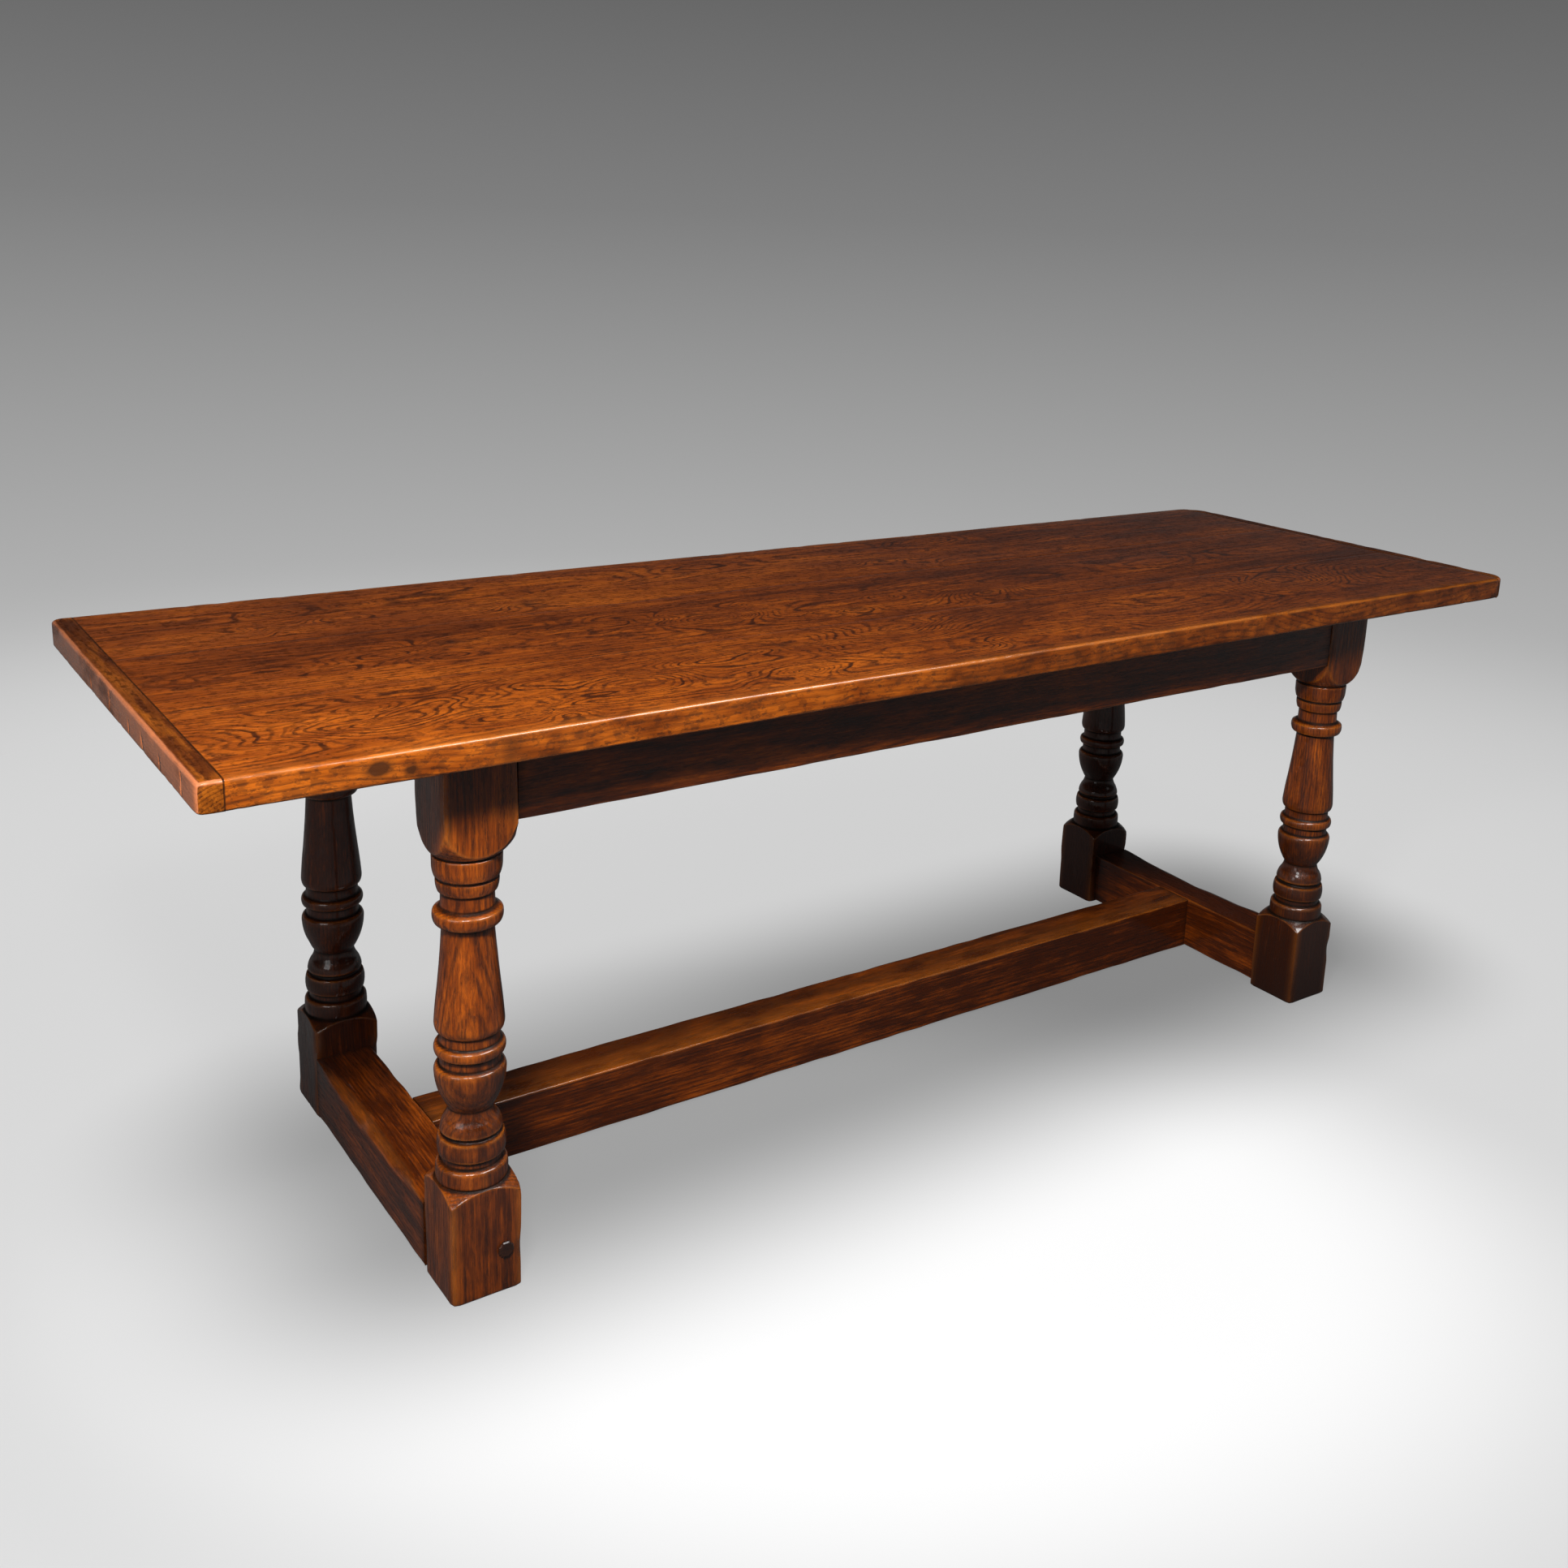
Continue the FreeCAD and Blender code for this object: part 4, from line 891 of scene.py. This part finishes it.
def steelFinish(name):
    material, nodes = newFinish(name)
    spot = nodes.add("ShaderNodeTexCoord").outputs["Object"]
    tarnish = nodes.noise(spot, *smallParts["tarnish"])
    scratch = nodes.noise(spot, *smallParts["scratch"])
    tarnished = nodes.step(tarnish, *smallParts["tarnishStep"])
    strength, depth = smallParts["scratchRelief"]
    bump = nodes.add("ShaderNodeBump", {"Height": scratch, "Strength": strength, "Distance": depth})
    shader = nodes.add("ShaderNodeBsdfPrincipled", {
        "Base Color": nodes.mix(tarnished, smallParts["steel"], smallParts["steelDull"]), "Metallic": 1.0,
        "Roughness": nodes.step(tarnish, *smallParts["tarnishStep"], *smallParts["steelRoughness"]),
        "Normal": bump.outputs["Normal"],
    })
    nodes.add("ShaderNodeOutputMaterial", {"Surface": shader.outputs["BSDF"]})
    return material


ownFinishes = {"foot_peg": oakFinish("pegOak", {**frameOak, **smallParts["pegOak"]}, (1, 0, 2))}
alongFinish = oakFinish("buttonOakAlong", frameOak, (0, 1, 2))
acrossFinish = oakFinish("buttonOakAcross", frameOak, (1, 0, 2))
ownFinishes["button_screws"] = steelFinish("screwSteel")
for node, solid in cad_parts.items():
    if node.startswith("button") or node == "foot_peg":
        isEnd = "left" in node or "right" in node
        solid.data.materials.clear()
        solid.data.materials.append(ownFinishes.get(node, alongFinish if isEnd else acrossFinish))
        bevel = solid.modifiers.new("bevel", "BEVEL")
        bevel.width = smallParts["bevels"].get(node, smallParts["buttonBevel"])
        bevel.segments = smallParts["bevelSteps"]
print("peg, buttons and screws finished")

# Floor, backdrop, light and camera
stage = {
    "floorRadius": 9.0, "floorSides": 64, "fadeFrom": 1.5, "fadeTo": 4.2,
    "paleFloor": 0.12, "dimFloor": 0.06, "mirroredFloor": 0.09,  # to the eye, and to the table
    # a painted shadow under the table
    "shadeCentre": (0.07, -0.015, 0.0), "shadeSize": (0.87, 0.115, 1.0), "shadeReach": 0.48,
    "shadeDepth": 0.64,
    # a painted pool of light in front of the table
    "paintedLightPoolCentre": (-0.32, -0.447, 0.0), "paintedLightPoolTurn": -35.6, "paintedLightPoolSize": (0.95, 0.65, 1.0),
    "paintedLightPoolRim": (0.6, 1.25), "glow": (0.90, 0.62),
    # brightness of the backdrop by the height of the view's direction, to the eye and in the wax
    "backdrop": ((0.0, 0.98), (0.185, 0.98), (0.238, 0.84), (0.318, 0.645), (0.371, 0.48), (0.418, 0.38),
                 (0.5, 0.21), (0.566, 0.13), (0.66, 0.08), (1.0, 0.06)),
    "mirrored": ((0.0, 0.08), (0.45, 0.11), (0.5, 0.14), (0.57, 0.11), (0.585, 0.06), (0.6, 0.016),
                 (0.62, 0.006), (1.0, 0.006)),
    "ambient": 0.03,
}
floorMesh = bpy.data.meshes.new("floor")
rimTurns = np.arange(stage["floorSides"]) * math.tau / stage["floorSides"]
floorRadius = stage["floorRadius"]
floorRim = [(math.cos(turn) * floorRadius, math.sin(turn) * floorRadius, 0) for turn in rimTurns]
floorMesh.from_pydata(floorRim, [], [list(range(stage["floorSides"]))])
floor = addObject("floor", floorMesh)
floorPaint, nodes = newFinish("floorPaint")
paths = nodes.add("ShaderNodeLightPath").outputs
mirroredShare = nodes.sum("MULTIPLY", paths["Is Glossy Ray"], stage["mirroredFloor"])
seen = nodes.sum("MAXIMUM", paths["Is Camera Ray"], mirroredShare)
place = nodes.add("ShaderNodeTexCoord").outputs["Object"]
distance = nodes.vector("LENGTH", place, output="Value")
underneath = nodes.add("ShaderNodeNewGeometry").outputs["Backfacing"]
fade = nodes.sum("MAXIMUM", nodes.step(distance, stage["fadeFrom"], stage["fadeTo"]), underneath)
# painted shadow: the floor's colour and glow are darker near the table
sideways = nodes.vector("ABSOLUTE", nodes.vector("SUBTRACT", place, stage["shadeCentre"]))
sideways = nodes.vector("MAXIMUM", nodes.vector("SUBTRACT", sideways, stage["shadeSize"]))
fromShade = nodes.vector("LENGTH", sideways, output="Value")
shade = nodes.step(fromShade, 0.0, stage["shadeReach"], 1 - stage["shadeDepth"], 1.0)
tone = nodes.step(seen, 0.0, 1.0, stage["dimFloor"], stage["paleFloor"])
paint = nodes.add("ShaderNodeBsdfDiffuse", {"Color": nodes.sum("MULTIPLY", tone, shade)})
# painted pool of light: the floor's glow is brighter in an oval in front of the table
paintedLightPool = nodes.add("ShaderNodeMapping", {
    "Vector": place, "Location": stage["paintedLightPoolCentre"], "Scale": stage["paintedLightPoolSize"],
    "Rotation": (0, 0, math.radians(stage["paintedLightPoolTurn"])),
}, vector_type="TEXTURE").outputs[0]
fromPaintedLightPool = nodes.vector("LENGTH", paintedLightPool, output="Value")
paintedLightPoolLevel = nodes.step(fromPaintedLightPool, *stage["paintedLightPoolRim"], *stage["glow"])
glowing = nodes.sum("MULTIPLY", nodes.sum("MULTIPLY", seen, paintedLightPoolLevel), shade)
glow = nodes.add("ShaderNodeEmission", {"Strength": glowing})
lit = nodes.add("ShaderNodeAddShader", {0: paint.outputs[0], 1: glow.outputs[0]})
clear = nodes.add("ShaderNodeBsdfTransparent")
blend = nodes.add("ShaderNodeMixShader", {0: fade, 1: lit.outputs[0], 2: clear.outputs[0]})
nodes.add("ShaderNodeOutputMaterial", {"Surface": blend.outputs[0]})
floorMesh.materials.append(floorPaint)

world = bpy.data.worlds.new("backdrop")
bpy.context.scene.world = world
world.use_nodes = True
nodes = NodeTree(world.node_tree)
paths = nodes.add("ShaderNodeLightPath").outputs
direction = nodes.add("ShaderNodeTexCoord").outputs["Generated"]
height = nodes.add("ShaderNodeSeparateXYZ", {"Vector": direction}).outputs["Z"]
level = nodes.sum("MULTIPLY_ADD", height, 0.5, 0.5)
grey = nodes.ramp(level, [(place, (tone, tone, tone)) for place, tone in stage["backdrop"]])
mirrored = nodes.ramp(level, [(place, (tone, tone, tone)) for place, tone in stage["mirrored"]])
around = nodes.mix(paths["Is Glossy Ray"], (stage["ambient"],) * 3, mirrored)
sky = nodes.add("ShaderNodeBackground", {"Color": nodes.mix(paths["Is Camera Ray"], around, grey)})
nodes.add("ShaderNodeOutputWorld", {"Surface": sky.outputs[0]})

# some lamps only light the table, and others only show in its wax
lamps = {
    "keyLight": {"at": (-1.5, -1.42, 2.13), "aim": (-0.5, -0.3, 0.5), "size": 0.35, "power": 52,
                 "mirrored": False},
    "keyImage": {"at": (-1.5, -1.42, 2.13), "aim": (-0.5, -0.3, 0.5), "size": 0.7, "power": 22,
                 "lights": False},
    "softbox": {"at": (0.5, -1.2, 2.4), "aim": (-0.2, -0.3, 0.7), "size": 0.42, "power": 9,
                "mirrored": False},
    "window": {"at": (0.3, -1.3, 2.3), "aim": (-0.5, -0.38, 0.77), "size": 1.6, "height": 0.7, "power": 38,
               "lights": False},
    "overhead": {"at": (0.1, 0.1, 3.2), "aim": (0.1, 0.1, 0.0), "size": 2.0, "power": 1.5},
    "leftFill": {"at": (-2.1, -0.7, 1.1), "aim": (-0.9, -0.1, 0.5), "size": 0.8, "power": 3.4},
    "backFill": {"at": (-0.4, 3.2, 1.3), "aim": (0.0, 0.2, 0.45), "size": 1.6, "power": 20,
                 "mirrored": False},
    "rightFill": {"at": (2.4, -2.6, 2.6), "aim": (0.7, -0.1, 0.4), "size": 1.2, "power": 1.2},
}
for name, lamp in lamps.items():
    light = bpy.data.lights.new(name, "AREA")
    light.size = lamp["size"]
    light.shape = "RECTANGLE"
    light.size_y = lamp.get("height", lamp["size"])
    light.energy = lamp["power"]
    lampObject = addObject(name, light)
    lampObject.location = lamp["at"]
    lampObject.visible_glossy = lamp.get("mirrored", True)
    lampObject.visible_diffuse = lamp.get("lights", True)
    lampObject.rotation_euler = (Vector(lamp["aim"]) - Vector(lamp["at"])).to_track_quat("-Z", "Y").to_euler()

view = {
    "place": (-1.5111, -2.0013, 1.3460), "yaw": 35.626, "pitch": 13.831, "roll": 2.325,
    "focal": 2003.1, "centre": (1028.6, 762.6), "imageSide": 1932, "sensor": 36.0,
}
yaw, pitch, roll = (math.radians(view[each]) for each in ("yaw", "pitch", "roll"))
forward = Vector((math.sin(yaw) * math.cos(pitch), math.cos(yaw) * math.cos(pitch), -math.sin(pitch)))
levelRight = Vector((math.cos(yaw), -math.sin(yaw), 0))
levelUp = levelRight.cross(forward)
right = levelRight * math.cos(roll) + levelUp * math.sin(roll)
up = levelUp * math.cos(roll) - levelRight * math.sin(roll)
cameraData = bpy.data.cameras.new("camera")
cameraData.sensor_width = view["sensor"]
cameraData.lens = view["focal"] / view["imageSide"] * view["sensor"]
cameraData.shift_x = 0.5 - view["centre"][0] / view["imageSide"]
cameraData.shift_y = view["centre"][1] / view["imageSide"] - 0.5
camera = addObject("camera", cameraData)
camera.matrix_world = Matrix.Translation(view["place"]) @ Matrix((right, up, -forward)).transposed().to_4x4()
bpy.context.scene.camera = camera
bpy.context.scene.view_settings.view_transform = "Standard"
print("stage, lights and camera made")
